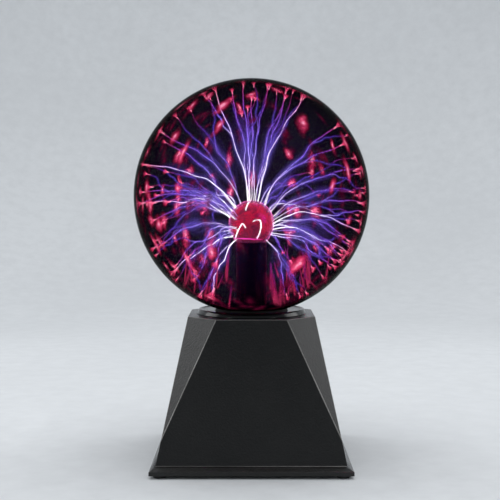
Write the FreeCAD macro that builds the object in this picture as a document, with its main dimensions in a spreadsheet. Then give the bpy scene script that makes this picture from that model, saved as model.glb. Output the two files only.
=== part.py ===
"""Plasma ball lamp: a gas-filled glass globe on a faceted pyramid base, as separate named pieces.

Millimetres, +Z up, front towards -Y, origin on the resting surface under the middle of the base.
Every size is a cell of the sheet "Sizes"; every place is worked out from those cells.
"""
import FreeCAD
import Part
import Sketcher
import math
import os
import re

from FreeCAD import Placement, Rotation, Vector

SIZES = {
    # how far a cutting tool runs past the face it starts from
    "overrun": 1,
    # plinth and feet
    "base_width": 160, "edge_height": 3, "lip_height": 3, "lip_run": 5, "floor_thick": 3,
    "rim_width": 5, "rib_height": 3.5, "rib_gap": 0.15,
    "foot_diameter": 12, "foot_height": 2.5, "foot_inset": 8, "foot_seat": 1, "foot_edge": 1,
    "vent_length": 34, "vent_width": 3, "vent_pitch": 8, "vent_count": 6,
    # cover
    "cover_height": 112.5, "top_width": 105, "corner_cut": 24, "facet_drop": 92, "cover_wall": 2.5,
    "post_diameter": 8, "post_place": 62, "neck_post_height": 10, "neck_post_place": 32,
    # globe, neck and collar
    "globe_diameter": 200, "globe_wall": 2, "globe_sink": 0.5,
    "neck_diameter": 50, "neck_length": 34, "neck_gap": 0.5,
    "collar_diameter": 93, "collar_height": 4, "collar_taper": 1.6, "collar_edge": 0.6,
    "collar_lip": 1.4, "dish_depth": 1.6,
    "gasket_gap": 1, "gasket_width": 4.5, "gasket_height": 4.5, "collar_gap": 0.5,
    "grommet_wall": 3, "grommet_height": 8, "retainer_width": 84, "retainer_thick": 3,
    # electrode and its stem
    "bulb_diameter": 38, "bulb_wall": 1.2, "bulb_drop": 23, "taper_reach": 16.5, "core_gap": 0.4,
    "taper_gap": 0.4, "tube_diameter": 20, "tube_wall": 1.5, "flare_thick": 2,
    "sleeve_diameter": 26, "sleeve_gap": 0.3,
    "rod_diameter": 2, "boot_depth": 10, "boot_cap": 5, "boot_edge": 1,
    "tip_length": 10, "tip_diameter": 5, "tip_end": 1, "tip_place": 16,
    # driver board and what stands on it
    "board_length": 100, "board_depth": 70, "board_thick": 1.6, "board_shift": -8,
    "board_edge": 5, "standoff_height": 6, "standoff_diameter": 7,
    "ferrite_leg": 10, "ferrite_span": 38, "ferrite_height": 34, "ferrite_across": -16, "ferrite_back": -4,
    "secondary_diameter": 27, "primary_diameter": 19, "winding_gap": 0.5, "primary_length": 10,
    "clip_thick": 0.6, "clip_width": 3,
    "sink_length": 26, "sink_base": 3, "sink_depth": 16, "sink_height": 30, "fin_thick": 1.5, "fin_count": 5,
    "sink_across": 34, "sink_back": -8, "sink_tap_height": 20,
    "case_thick": 4.5, "case_width": 10, "case_height": 20, "case_lift": 4,
    "leg_thick": 0.6, "leg_width": 1, "leg_pitch": 2.5, "leg_gap": 3.5,
    "choke_radius": 7, "choke_section": 4, "choke_lift": 3.6, "choke_across": 14, "choke_back": 6,
    "resistor_length": 6.5, "resistor_thick": 2.4, "resistor_pitch": 4, "resistor_across": -26,
    "resistor_back": 8,
    "can_edge": 0.5, "groove_low": 1.2, "groove_depth": 0.4,
    # threaded fasteners: self-tapping, so each bites in a hole of its own shank
    "screw_shank": 3, "screw_head": 5.6, "screw_head_height": 2, "screw_length": 12,
    "small_shank": 2.4, "small_head": 4.4, "small_head_height": 1.6, "small_length": 6,
    "screw_gap": 0.4, "head_recess": 1.5, "slot_half": 0.3,
    # power inlet for a 5.5 x 2.1 mm barrel plug
    "rear_height": 34, "jack_side": 26, "jack_bore": 6, "jack_pin": 2, "jack_pin_root": 1.4, "jack_depth": 10,
    "jack_bush": 8, "jack_back": 12.5, "jack_flange": 11, "jack_flange_thick": 1.6,
    "jack_pin_recess": 1, "jack_nut_width": 11, "jack_nut_thick": 2.4, "jack_hole_gap": 0.2,
    "jack_edge": 0.5, "tag_length": 4, "tag_thick": 0.5, "tag_width": 2, "tag_inset": 1,
    # three-position slide switch: on, off, sound
    "switch_side": -26, "travel": 8, "knob_length": 4.4, "knob_depth": 3.4, "knob_reach": 3,
    "slider_length": 8, "slider_depth": 6, "slider_thick": 2, "slide_gap": 0.4, "slot_gap": 0.5,
    "switch_wall": 1, "switch_deep": 8, "bracket_length": 32, "bracket_thick": 0.8,
    "bracket_screws": 26, "bracket_bite": 1, "pin_thick": 0.6, "pin_width": 1.6,
    # wiring
    "wire_diameter": 1.4, "wire_pitch": 2.5, "wire_rise": 18, "wire_reach": 16,
    "jack_wire_out": 10, "jack_wire_lean": -3, "switch_wire_out": 12, "switch_wire_lean": 1,
    "hv_wire_diameter": 3, "hv_wire_inset": 3,
}

# what else stands on the board: its own sizes, then its place from the board's middle
CANS = {
    "supply_capacitor": {"diameter": 12.5, "tall": 20, "across": 8, "back": 24},
    "filter_capacitor": {"diameter": 8, "tall": 12, "across": 20, "back": 26},
    "microphone": {"diameter": 9.7, "tall": 6.5, "across": -36, "back": -24},
}
BOXES = {
    "film_capacitor": {"length": 18, "depth": 6, "tall": 11, "across": 14, "back": -26},
    "timer_chip": {"length": 9.8, "depth": 6.4, "tall": 3.5, "across": -10, "back": 22},
    "sensitivity_trimmer": {"length": 9.5, "depth": 9.5, "tall": 4.8, "across": -26, "back": 24},
    "power_connector": {"length": 7.5, "depth": 5.8, "tall": 6, "across": 34, "back": 22},
    "switch_connector": {"length": 10, "depth": 5.8, "tall": 6, "across": -40, "back": 16},
}
for label, fields in (CANS | BOXES).items():
    SIZES.update({f"{label}_{field}": size for field, size in fields.items()})

# places worked out from the sizes, written as expressions of the sheet
PLACES = {
    "floor_top": "foot_height + floor_thick",
    "edge_top": "foot_height + edge_height",
    "plinth_top": "edge_top + lip_height",
    "cover_top": "plinth_top + cover_height",
    "cover_foot": "base_width / 2 - lip_run",
    "slope": "(cover_foot - top_width / 2) / cover_height",
    "facet_top": "(top_width - corner_cut) / sqrt(2)",
    "facet_end": "cover_top - facet_drop",
    "facet_low": "sqrt(2) * (top_width / 2 + slope * facet_drop)",
    "facet_slope": "(facet_low - facet_top) / facet_drop",
    "foot_place": "base_width / 2 - foot_inset",
    "globe_radius": "globe_diameter / 2",
    "globe_mid": "cover_top - globe_sink + globe_radius",
    "neck_radius": "neck_diameter / 2",
    "gasket_inner": "neck_radius + gasket_gap",
    "gasket_outer": "gasket_inner + gasket_width",
    "collar_bore": "gasket_outer + collar_gap",
    "neck_end": "cover_top - neck_length",
    "retainer_top": "cover_top - cover_wall - neck_post_height",
    "bulb_radius": "bulb_diameter / 2",
    "bulb_mid": "globe_mid - bulb_drop",
    "bulb_foot": "bulb_mid - taper_reach",
    "tube_radius": "tube_diameter / 2",
    "sleeve_radius": "sleeve_diameter / 2",
    "flare_low": "neck_end - flare_thick",
    "board_low": "floor_top + standoff_height",
    "board_top": "board_low + board_thick",
    "board_screw_x": "board_length / 2 - board_edge",
    "board_screw_y": "board_depth / 2 - board_edge",
    "rear_face": "cover_foot - slope * (rear_height - plinth_top)",
    "slot_length": "knob_length + travel + 2 * slot_gap",
    "slot_depth": "knob_depth + 2 * slot_gap",
    "cavity_length": "slider_length + travel + 2 * slide_gap",
    "cavity_depth": "slider_depth + 2 * slide_gap",
    "cavity_thick": "slider_thick + 2 * slide_gap",
}

# the four quarters, and a pan head's proportions as shares of its radius or height
QUARTERS = ((-1, -1), (1, -1), (1, 1), (-1, 1))
HEAD_SIDE, HEAD_CROWN, SLOT_REACH, SLOT_DEPTH = 0.6, 0.7, 0.62, 0.45

doc = FreeCAD.newDocument("plasma_ball")
sheet = doc.addObject("Spreadsheet::Sheet", "Sizes")
pieces = []


def fill_sheet():
    """One row for each size: its name, then its value under that name."""
    for row, (name, size) in enumerate(SIZES.items(), start=1):
        sheet.set(f"A{row}", name)
        sheet.set(f"B{row}", str(size))
        sheet.setAlias(f"B{row}", name)
    doc.recompute()


def spelled(text):
    """The expression with each place written out in full and each size pointed at its cell."""

    def swap(match):
        word = match.group(0)
        if word in PLACES:
            return f"({spelled(PLACES[word])})"
        return f"Sizes.{word}" if word in SIZES else word

    return re.sub(r"[a-z_]+", swap, str(text))


def number(text):
    """What the expression comes to now."""
    found = sheet.evalExpression(spelled(text))
    return float(getattr(found, "Value", found))


def bind(item, size, text):
    item.setExpression(size, spelled(text))


def place(item, at, axis=None, angle="0"):
    """Put an item at three expressions, turned about an axis by an expression in degrees."""
    turn = Rotation(axis or Vector(0, 0, 1), number(angle))
    item.Placement = Placement(Vector(*map(number, at)), turn)
    for letter, text in zip("xyz", at):
        bind(item, f"Placement.Base.{letter}", text)
    if axis:
        bind(item, "Placement.Rotation.Angle", angle)
    return item


def place_rear(item, side):
    """Carry an item from its own frame to the sloping rear wall: z outwards, y down the wall."""
    return place(item, (side, "rear_face", "rear_height"), Vector(-1, 0, 0), "90 deg - atan(slope)")


def piece(label, item):
    """Name a finished sub-part and keep it for export."""
    item.Label = label
    pieces.append(item)
    return item


# ---- Part primitives and booleans


def solid(kind, name, at=("0", "0", "0"), axis=None, angle="0", **sizes):
    item = doc.addObject(f"Part::{kind}", name)
    for size, text in sizes.items():
        bind(item, size, text)
    return place(item, at, axis, angle)


def rod(name, diameter, low, high, x="0", y="0"):
    """Upright cylinder between two heights."""
    return solid("Cylinder", name, (x, y, low), Radius=f"({diameter}) / 2", Height=f"({high}) - ({low})")


def block(name, length, depth, low, high, x="0", y="0"):
    """Upright box about a middle point, between two heights."""
    corner = (f"({x}) - ({length}) / 2", f"({y}) - ({depth}) / 2", low)
    return solid("Box", name, corner, Length=length, Width=depth, Height=f"({high}) - ({low})")


def cut(name, base, *tools):
    item = doc.addObject("Part::Cut", name)
    item.Base = base
    item.Tool = tools[0] if len(tools) == 1 else fuse(f"{name}_tools", *tools)
    return item


def fuse(name, *parts):
    item = doc.addObject("Part::MultiFuse", name)
    item.Shapes = list(parts)
    return item


def group(name, *parts):
    item = doc.addObject("Part::Compound", name)
    item.Links = list(parts)
    return item


def mirrored(name, source, normal):
    item = doc.addObject("Part::Mirroring", name)
    item.Source = source
    item.Normal = normal
    return item


def pair(name, source, normal=Vector(1, 0, 0)):
    """An item and its mirror image."""
    return group(name, source, mirrored(f"{name}_twin", source, normal))


def four(name, source):
    """An item in one quarter, mirrored into the other three."""
    return pair(name, pair(f"{name}_half", source), Vector(0, 1, 0))


# ---- PartDesign bodies


def plane(body, role):
    return next(item for item in body.Origin.OriginFeatures if item.Role == role)


def outline(body, name, role, corners, lift=None, turn=0):
    """A closed sketch of straight edges; every corner is a pair of bound expressions."""
    sketch = body.newObject("Sketcher::SketchObject", name)
    sketch.AttachmentSupport = [(plane(body, role), "")]
    sketch.MapMode = "FlatFace"
    sketch.AttachmentOffset = Placement(Vector(), Rotation(Vector(0, 1, 0), turn))
    if lift is not None:
        bind(sketch, "AttachmentOffset.Base.z", lift)
    points = [Vector(number(x), number(y), 0) for x, y in corners]
    last = len(points) - 1
    for index, point in enumerate(points):
        sketch.addGeometry(Part.LineSegment(point, points[0 if index == last else index + 1]))
    for index in range(last + 1):
        following = 0 if index == last else index + 1
        sketch.addConstraint(Sketcher.Constraint("Coincident", index, 2, following, 1))
    for index, (x, y) in enumerate(corners):
        for kind, text in (("DistanceX", x), ("DistanceY", y)):
            name_of = f"{kind[-1].lower()}{index}"
            at = sketch.addConstraint(Sketcher.Constraint(kind, index, 1, number(text)))
            sketch.renameConstraint(at, name_of)
            sketch.setExpression(f"Constraints.{name_of}", spelled(text))
    return sketch


def square(body, name, half, lift):
    return outline(body, name, "XY_Plane", rectangle(half, half), lift)


def rectangle(half_x, half_y, x="0", y="0"):
    """The four corners of a rectangle about a middle point."""
    return [(f"({x}) + {i} * ({half_x})", f"({y}) + {j} * ({half_y})") for i, j in QUARTERS]


def pad(body, name, sketch, length):
    item = body.newObject("PartDesign::Pad", name)
    item.Profile = sketch
    bind(item, "Length", length)
    return item


def pocket(body, name, sketch, length, both_ways=False, back=False):
    """Cut a sketch's outline along its plane's normal, and check that it did cut."""
    doc.recompute()
    before = body.Shape.Volume
    item = body.newObject("PartDesign::Pocket", name)
    item.Profile = sketch
    item.Reversed = back
    if both_ways:
        item.SideType = "Symmetric"
    bind(item, "Length", length)
    doc.recompute()
    if body.Shape.Volume > before - 1e-3:
        raise RuntimeError(f"{name} cuts nothing")
    return item


def loft(body, name, low, high):
    item = body.newObject("PartDesign::AdditiveLoft", name)
    item.Profile = low
    item.Sections = [high]
    item.Ruled = True
    return item


def revolved(label, corners, at=("0", "0", "0")):
    """A turned piece: corners are (radius, height) about the upright axis."""
    body = doc.addObject("PartDesign::Body", label)
    sketch = outline(body, f"{label}_section", "XZ_Plane", corners)
    turn = body.newObject("PartDesign::Revolution", f"{label}_turned")
    turn.Profile = sketch
    turn.ReferenceAxis = (sketch, ["V_Axis"])
    turn.Angle = 360
    return place(body, at)


def ring(label, inner, outer, low, high):
    """A plain turned ring between two diameters and two heights."""
    near, far = f"({inner}) / 2", f"({outer}) / 2"
    return revolved(label, [(near, low), (far, low), (far, high), (near, high)])


def screw(name, kind, length, at, head_up=True):
    """A pan-head screw with a slot, its seat under the head at the given place."""
    head, shank, tall = f"{kind}_head", f"{kind}_shank", f"{kind}_head_height"
    side = 1 if head_up else -1
    rim = f"({head}) / 2"
    corners = [
        ("0", f"{-side} * ({length})"),
        (f"({shank}) / 2", f"{-side} * ({length})"),
        (f"({shank}) / 2", "0"),
        (rim, "0"),
        (rim, f"{side} * ({tall}) * {HEAD_SIDE}"),
        (f"{rim} * {HEAD_CROWN}", f"{side} * ({tall})"),
        ("0", f"{side} * ({tall})"),
    ]
    body = revolved(name, corners, at)
    mouth = rectangle(f"{rim} * {SLOT_REACH}", "slot_half")
    slot = outline(body, f"{name}_slot", "XY_Plane", mouth, f"{side} * ({tall})")
    pocket(body, f"{name}_slot_cut", slot, f"({tall}) * {SLOT_DEPTH}", back=not head_up)
    return body


# ---- plinth, cover and feet


def frustum(name, wall, low, high):
    """The cover's four sloping sides and four corner facets, a wall's thickness in from outside."""
    body = doc.addObject("PartDesign::Body", name)
    run = f"(({wall}) * sqrt(1 + slope ^ 2))"
    ends = []
    for end, level in (("low", low), ("high", high)):
        half = f"top_width / 2 + slope * (cover_top - ({level})) - {run}"
        ends.append(square(body, f"{name}_{end}", half, level))
    loft(body, f"{name}_sides", *ends)
    step = f"(({wall}) * sqrt(1 + facet_slope ^ 2))"
    above = "(cover_top + overrun)"
    corners = [
        (f"facet_low - {step}", "facet_end"),
        ("base_width", "facet_end"),
        ("base_width", above),
        (f"facet_top - overrun * facet_slope - {step}", above),
    ]
    facet = outline(body, f"{name}_facet", "XZ_Plane", corners, turn=45)
    first = pocket(body, f"{name}_facet_cut", facet, "base_width", both_ways=True)
    pattern = body.newObject("PartDesign::PolarPattern", f"{name}_facets")
    pattern.Originals = [first]
    pattern.Axis = (plane(body, "Z_Axis"), [""])
    pattern.Angle = 360
    pattern.Occurrences = 4
    body.Tip = pattern
    return body


def corner_rods(name, diameter, low, high, x, y=None, shift="0"):
    """Four upright cylinders, one in each quarter."""
    rods = []
    for index, (i, j) in enumerate(QUARTERS):
        at = (f"{i} * ({x})", f"({shift}) + {j} * ({y or x})")
        rods.append(rod(f"{name}_{index}", diameter, low, high, *at))
    return fuse(name, *rods)


def make_cover():
    """Thin moulded shell with corner posts, neck posts and the openings for inlet and switch."""
    outside = frustum("cover_outside", "0", "plinth_top", "cover_top")
    inside = frustum("cover_inside", "cover_wall", "plinth_top - overrun", "cover_top - cover_wall")
    posts = corner_rods("cover_posts", "post_diameter", "plinth_top - overrun", "cover_top", "post_place")
    hangers = corner_rods("neck_posts", "post_diameter", "retainer_top", "cover_top", "neck_post_place")
    hollow = cut("cover_hollow", inside, posts, hangers)
    bite = "screw_length - (floor_thick + lip_height - head_recess)"
    holes = corner_rods("post_holes", "screw_shank", "plinth_top", f"plinth_top + {bite}", "post_place")
    hung = "retainer_top + small_length - retainer_thick"
    hung_holes = corner_rods("neck_post_holes", "small_shank", "retainer_top", hung, "neck_post_place")
    mouth = rod("neck_mouth", "neck_diameter + 2 * neck_gap", "cover_top - 2 * cover_wall",
                "cover_top + overrun")
    through = ("-2 * cover_wall", "overrun")
    jack_way = rod("jack_way", "jack_bush + 2 * jack_hole_gap", *through)
    jack = place_rear(group("jack_opening", jack_way), "jack_side")
    slot = block("knob_slot", "slot_length", "slot_depth", *through)
    hole = rod("bracket_hole", "small_shank + screw_gap", *through, "bracket_screws / 2")
    drilled = pair("bracket_holes", hole)
    switch = place_rear(fuse("switch_opening", slot, drilled), "switch_side")
    return piece("base_cover", cut("cover_shell", outside, hollow, holes, hung_holes, mouth, jack, switch))


def make_plinth():
    """Tray with a sloping lip: the cover stands on its rim and the board on its standoffs."""
    body = doc.addObject("PartDesign::Body", "plinth_tray")
    edge = square(body, "plinth_edge_outline", "base_width / 2", "foot_height")
    pad(body, "plinth_edge", edge, "edge_height")
    low = square(body, "plinth_lip_low", "base_width / 2", "edge_top")
    loft(body, "plinth_lip", low, square(body, "plinth_lip_high", "cover_foot", "plinth_top"))
    inner = "cover_foot - cover_wall * sqrt(1 + slope ^ 2) - slope * rib_height - rib_gap"
    pad(body, "plinth_rib", square(body, "plinth_rib_outline", inner, "plinth_top"), "rib_height")
    well = square(body, "plinth_well_outline", "cover_foot - rim_width", "plinth_top + rib_height")
    pocket(body, "plinth_well", well, "plinth_top + rib_height - floor_top")
    vent = outline(body, "vent_outline", "XY_Plane",
                   rectangle("vent_width / 2", "vent_length / 2", "-(vent_count - 1) / 2 * vent_pitch"),
                   "floor_top + overrun")
    first = pocket(body, "vent", vent, "floor_thick + 2 * overrun")
    vents = body.newObject("PartDesign::LinearPattern", "vents")
    vents.Originals = [first]
    vents.Direction = (plane(body, "X_Axis"), [""])
    bind(vents, "Length", "(vent_count - 1) * vent_pitch")
    bind(vents, "Occurrences", "vent_count")
    body.Tip = vents
    under = "floor_top - overrun"
    bosses = corner_rods("plinth_bosses", "post_diameter", under, "plinth_top", "post_place")
    stands = corner_rods("board_stands", "standoff_diameter", under, "board_low", "board_screw_x",
                         "board_screw_y", "board_shift")
    ways = corner_rods("plinth_holes", "screw_shank + screw_gap", "0", "plinth_top + overrun", "post_place")
    seats = corner_rods("plinth_seats", "screw_head + 2 * screw_gap", "0", "foot_height + head_recess",
                        "post_place")
    taps = corner_rods("stand_holes", "small_shank", "board_top - small_length", "board_top", "board_screw_x",
                       "board_screw_y", "board_shift")
    feet = corner_rods("foot_seats", "foot_diameter", "0", "foot_height + foot_seat", "foot_place")
    joined = fuse("plinth_joined", body, bosses, stands)
    return piece("plinth", cut("plinth_drilled", joined, ways, seats, taps, feet))


def make_feet():
    """Four glued rubber feet, each with a bevelled tread."""
    tread = "foot_diameter / 2 - foot_edge"
    rim = "foot_diameter / 2"
    top = "foot_height + foot_seat"
    corners = [("0", "0"), (tread, "0"), (rim, "foot_edge"), (rim, top), ("0", top)]
    for row, j in (("front", -1), ("rear", 1)):
        for side, i in (("left", -1), ("right", 1)):
            name = f"foot_{row}_{side}"
            at = (f"{i} * foot_place", f"{j} * foot_place", "0")
            piece(name, revolved(f"{name}_body", corners, at))


def make_plinth_screws():
    at = ("post_place", "post_place", "foot_height + head_recess")
    one = screw("plinth_screw", "screw", "screw_length", at, head_up=False)
    piece("plinth_screws", four("plinth_screw_set", one))


# ---- collar, globe and what holds its neck


def make_collar():
    """Glossy ring on the cover's top, with a shallow dish under the glass."""
    outer = "collar_diameter / 2"
    top = "cover_top + collar_height"
    shoulder = f"{outer} - collar_taper"
    dish = f"{top} - dish_depth"
    corners = [
        ("collar_bore", "cover_top"),
        (outer, "cover_top"),
        (shoulder, f"{top} - collar_edge"),
        (f"{shoulder} - collar_edge", top),
        (f"{shoulder} - collar_edge - collar_lip", top),
        (f"{shoulder} - collar_edge - 2 * collar_lip", f"{top} - dish_depth / 2"),
        ("collar_bore", dish),
    ]
    piece("collar_ring", revolved("collar_body", corners))


def make_globe():
    """Blown glass sphere with an open neck tube fused to its underside, and the gasket it sits on."""
    sphere = solid("Sphere", "globe_outside", ("0", "0", "globe_mid"), Radius="globe_radius")
    hollow = solid("Sphere", "globe_inside", ("0", "0", "globe_mid"), Radius="globe_radius - globe_wall")
    mouth = rod("globe_mouth", "neck_diameter - 2 * globe_wall", "neck_end - overrun", "globe_mid")
    piece("globe", cut("globe_glass", sphere, hollow, mouth))
    outside = rod("neck_outside", "neck_diameter", "neck_end", "globe_mid")
    trim = solid("Sphere", "neck_trim", ("0", "0", "globe_mid"), Radius="globe_radius")
    bore = rod("neck_inside", "neck_diameter - 2 * globe_wall", "neck_end - overrun", "globe_mid")
    piece("globe_neck", cut("neck_glass", outside, trim, bore))
    top = "cover_top + gasket_height"
    near, far = "gasket_inner", "gasket_outer"
    blank = revolved("gasket_blank", [(near, "cover_top"), (far, "cover_top"), (far, top), (near, top)])
    under = solid("Sphere", "gasket_bed", ("0", "0", "globe_mid"), Radius="globe_radius")
    piece("globe_gasket", cut("gasket_cut", blank, under))


def make_neck_clamp():
    """A rubber grommet grips the neck; a square plate on the hanging posts carries it."""
    outer = "neck_diameter + 2 * grommet_wall"
    mid = "retainer_top - retainer_thick / 2"
    ends = (f"{mid} - grommet_height / 2", f"{mid} + grommet_height / 2")
    piece("neck_grommet", ring("grommet_body", "neck_diameter", outer, *ends))
    low = "retainer_top - retainer_thick"
    through = (f"{low} - overrun", "retainer_top + overrun")
    plate = block("retainer_sheet", "retainer_width", "retainer_width", low, "retainer_top")
    ways = corner_rods("retainer_holes", "small_shank + screw_gap", *through, "neck_post_place")
    mouth = rod("retainer_mouth", outer, *through)
    piece("neck_retainer", cut("retainer_plate", plate, ways, mouth))
    at = ("neck_post_place", "neck_post_place", low)
    one = screw("retainer_screw", "small", "small_length", at, head_up=False)
    piece("retainer_screws", four("retainer_screw_set", one))


# ---- electrode


def bulb_shape(name, inset, foot):
    """Ball, tangent taper and tube of the electrode, an inset within the outer surface."""
    ball = f"(bulb_radius - ({inset}))"
    end = f"(sleeve_radius - taper_gap - ({inset}))"
    far = f"sqrt({end} ^ 2 + taper_reach ^ 2)"
    lean = f"(asin({ball} / {far}) - atan({end} / taper_reach))"
    head = solid("Sphere", f"{name}_ball", ("0", "0", "bulb_mid"), Radius=ball)
    taper = solid("Cone", f"{name}_taper", ("0", "0", "bulb_foot"), Radius1=end,
                  Radius2=f"{ball} * cos({lean})", Height=f"taper_reach - {ball} * sin({lean})")
    tube = rod(f"{name}_tube", f"tube_diameter - 2 * ({inset})", foot, "bulb_mid")
    return fuse(name, head, taper, tube)


def make_electrode():
    """Inner bulb on a tube, fused to the neck's end, with a conductive core and its rod."""
    outer = bulb_shape("bulb_outside", "0", "flare_low")
    flare = rod("flare", "neck_diameter", "flare_low", "neck_end")
    ball = "(bulb_radius - bulb_wall)"
    inner_ball = solid("Sphere", "bulb_inside", ("0", "0", "bulb_mid"), Radius=ball)
    bore = rod("tube_inside", "tube_diameter - 2 * tube_wall", "flare_low - overrun", "bulb_mid")
    piece("electrode_bulb", cut("bulb_glass", fuse("bulb_blown", outer, flare), inner_ball, bore))
    core = solid("Sphere", "core_ball", ("0", "0", "bulb_mid"), Radius=f"{ball} - core_gap")
    top_way = rod("core_way", "rod_diameter", "bulb_mid - 2 * bulb_radius", "bulb_mid")
    piece("electrode_core", cut("core_drilled", core, top_way))
    piece("electrode_rod", rod("rod_body", "rod_diameter", "flare_low - boot_cap", "bulb_mid"))
    sleeve = ring("sleeve_body", "tube_diameter + 2 * sleeve_gap", "sleeve_diameter", "neck_end", "bulb_foot")
    piece("stem_sleeve", sleeve)
    tip = solid("Cone", "tip_cone", ("tip_place", "0", "flare_low - tip_length"), Radius1="tip_end",
                Radius2="tip_diameter / 2", Height="tip_length")
    piece("exhaust_tip", tip)
    corners = [
        ("rod_diameter / 2", "flare_low - boot_cap"),
        ("tube_radius - boot_edge", "flare_low - boot_cap"),
        ("tube_radius", "flare_low"),
        ("tube_radius - tube_wall", "flare_low"),
        ("tube_radius - tube_wall", "flare_low + boot_depth"),
        ("rod_diameter / 2", "flare_low + boot_depth"),
    ]
    piece("high_voltage_boot", revolved("boot_body", corners))


# ---- driver board


def make_board():
    blank = block("board_blank", "board_length", "board_depth", "board_low", "board_top", y="board_shift")
    ways = corner_rods("board_holes", "small_shank + screw_gap", "board_low - overrun", "board_top + overrun",
                       "board_screw_x", "board_screw_y", "board_shift")
    piece("driver_board", cut("board_drilled", blank, ways))
    screws = []
    for index, (i, j) in enumerate(QUARTERS):
        at = (f"{i} * board_screw_x", f"board_shift + {j} * board_screw_y", "board_top")
        screws.append(screw(f"board_screw_{index}", "small", "small_length", at))
    piece("board_screws", group("board_screw_set", *screws))


def make_transformer():
    """Two U-shaped ferrites end to end, one coil on each pair of legs, held by a spring clip."""
    x, y = "ferrite_across", "board_shift + ferrite_back"
    low = "(board_top + clip_thick)"
    top = f"({low} + ferrite_height)"
    split = f"({low} + ferrite_height / 2)"
    leg = "(ferrite_span - ferrite_leg) / 2"
    halves = (("lower", low, split, low), ("upper", split, top, f"{top} - ferrite_leg"))
    for name, start, end, web in halves:
        legs = [block(f"{name}_leg_{index}", "ferrite_leg", "ferrite_leg", start, end,
                      f"{x} + {side} * {leg}", y) for index, side in enumerate((-1, 1))]
        bridge = block(f"{name}_web", "ferrite_span", "ferrite_leg", web, f"{web} + ferrite_leg", x, y)
        piece(f"ferrite_{name}", fuse(f"ferrite_{name}_body", *legs, bridge))
    foot = f"{low} + ferrite_leg + winding_gap"
    coils = (("secondary_coil", "secondary_diameter", 1, f"{top} - ferrite_leg - winding_gap"),
             ("primary_coil", "primary_diameter", -1, f"{foot} + primary_length"))
    for label, diameter, side, end in coils:
        at = f"{x} + {side} * {leg}"
        window = block(f"{label}_window", "ferrite_leg", "ferrite_leg", low, top, at, y)
        piece(label, cut(f"{label}_cut", rod(f"{label}_wound", diameter, foot, end, at, y), window))
    between = f"{x} + (primary_diameter - secondary_diameter) / 4"
    band = block("clip_bow", "clip_width", "ferrite_leg + 2 * clip_thick", "board_top", f"{top} + clip_thick",
                 between, y)
    room = block("clip_room", "ferrite_span", "ferrite_leg", low, top, x, y)
    piece("ferrite_clip", cut("clip_band", band, room))


def sink_bore(name, start, diameter, depth):
    """A level hole towards +X at the height of the transistor's screw."""
    at = (start, "board_shift + sink_back", "board_top + sink_tap_height")
    return solid("Cylinder", name, at, Vector(0, 1, 0), "90", Radius=f"({diameter}) / 2", Height=depth)


def make_heatsink():
    """Finned sink along the board's right edge with the transistor screwed to its flat side."""
    x, y = "sink_across", "board_shift + sink_back"
    ends = ("board_top", "board_top + sink_height")
    plate = block("sink_plate", "sink_base", "sink_length", *ends, x, y)
    fins = []
    for index in range(int(number("fin_count"))):
        at = f"{y} + ({index} / (fin_count - 1) - 0.5) * (sink_length - fin_thick)"
        fins.append(block(f"sink_fin_{index}", "sink_depth - sink_base", "fin_thick", *ends,
                          f"{x} + sink_depth / 2", at))
    face = f"{x} - sink_base / 2"
    tap = sink_bore("sink_tap", f"{face} - overrun", "small_shank", "sink_base + overrun")
    piece("heatsink", cut("sink_tapped", fuse("sink_body", plate, *fins), tap))
    foot = "board_top + case_lift"
    case = block("transistor_case", "case_thick", "case_width", foot, f"{foot} + case_height",
                 f"{face} - case_thick / 2", y)
    legs = [block(f"transistor_leg_{i}", "leg_thick", "leg_width", "board_top", foot, f"{x} - leg_gap",
                  f"{y} + {i} * leg_pitch") for i in (-1, 0, 1)]
    way = sink_bore("transistor_way", f"{face} - case_thick - overrun", "small_shank + screw_gap",
                    "case_thick + overrun")
    piece("power_transistor", cut("transistor_drilled", fuse("transistor_body", case, *legs), way))
    seat = (f"{face} - case_thick", y, "board_top + sink_tap_height")
    fixed = screw("sink_screw", "small", "small_length + 1", ("0", "0", "0"))
    piece("transistor_screw", place(group("sink_screw_set", fixed), seat, Vector(0, -1, 0), "90"))


def board_place(label):
    """Where a component's middle stands on the board."""
    return f"{label}_across", f"board_shift + {label}_back"


def can(label):
    """Round component with a crimped groove near its foot."""
    foot = "board_top"
    rim = f"{label}_diameter / 2"
    top = f"{foot} + {label}_tall"
    groove = f"{foot} + groove_low"
    corners = [
        ("0", foot),
        (rim, foot),
        (rim, groove),
        (f"{rim} - groove_depth", f"{groove} + groove_depth"),
        (rim, f"{groove} + 2 * groove_depth"),
        (rim, f"{top} - can_edge"),
        (f"{rim} - can_edge", top),
        ("0", top),
    ]
    return piece(label, revolved(f"{label}_body", corners, (*board_place(label), "0")))


def box(label):
    """Boxed component standing on the board."""
    top = f"board_top + {label}_tall"
    return piece(label, block(f"{label}_body", f"{label}_length", f"{label}_depth", "board_top", top,
                              *board_place(label)))


def make_small_components():
    for label in CANS:
        can(label)
    for label in BOXES:
        box(label)
    x, y = board_place("choke")
    wound = solid("Torus", "choke_ring", (x, y, "board_top + choke_lift"), Radius1="choke_radius",
                  Radius2="choke_section")
    width = "2 * (choke_radius + choke_section + overrun)"
    bed = block("choke_bed", width, width, "board_low", "board_top", x, y)
    piece("choke", cut("choke_seated", wound, bed))
    x, y = board_place("resistor")
    bodies = [block(f"resistor_{i}", "resistor_length", "resistor_thick", "board_top",
                    "board_top + resistor_thick", x, f"{y} + {i} * resistor_pitch") for i in range(3)]
    piece("resistors", group("resistor_set", *bodies))


# ---- power inlet, in the rear wall's own frame


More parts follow.
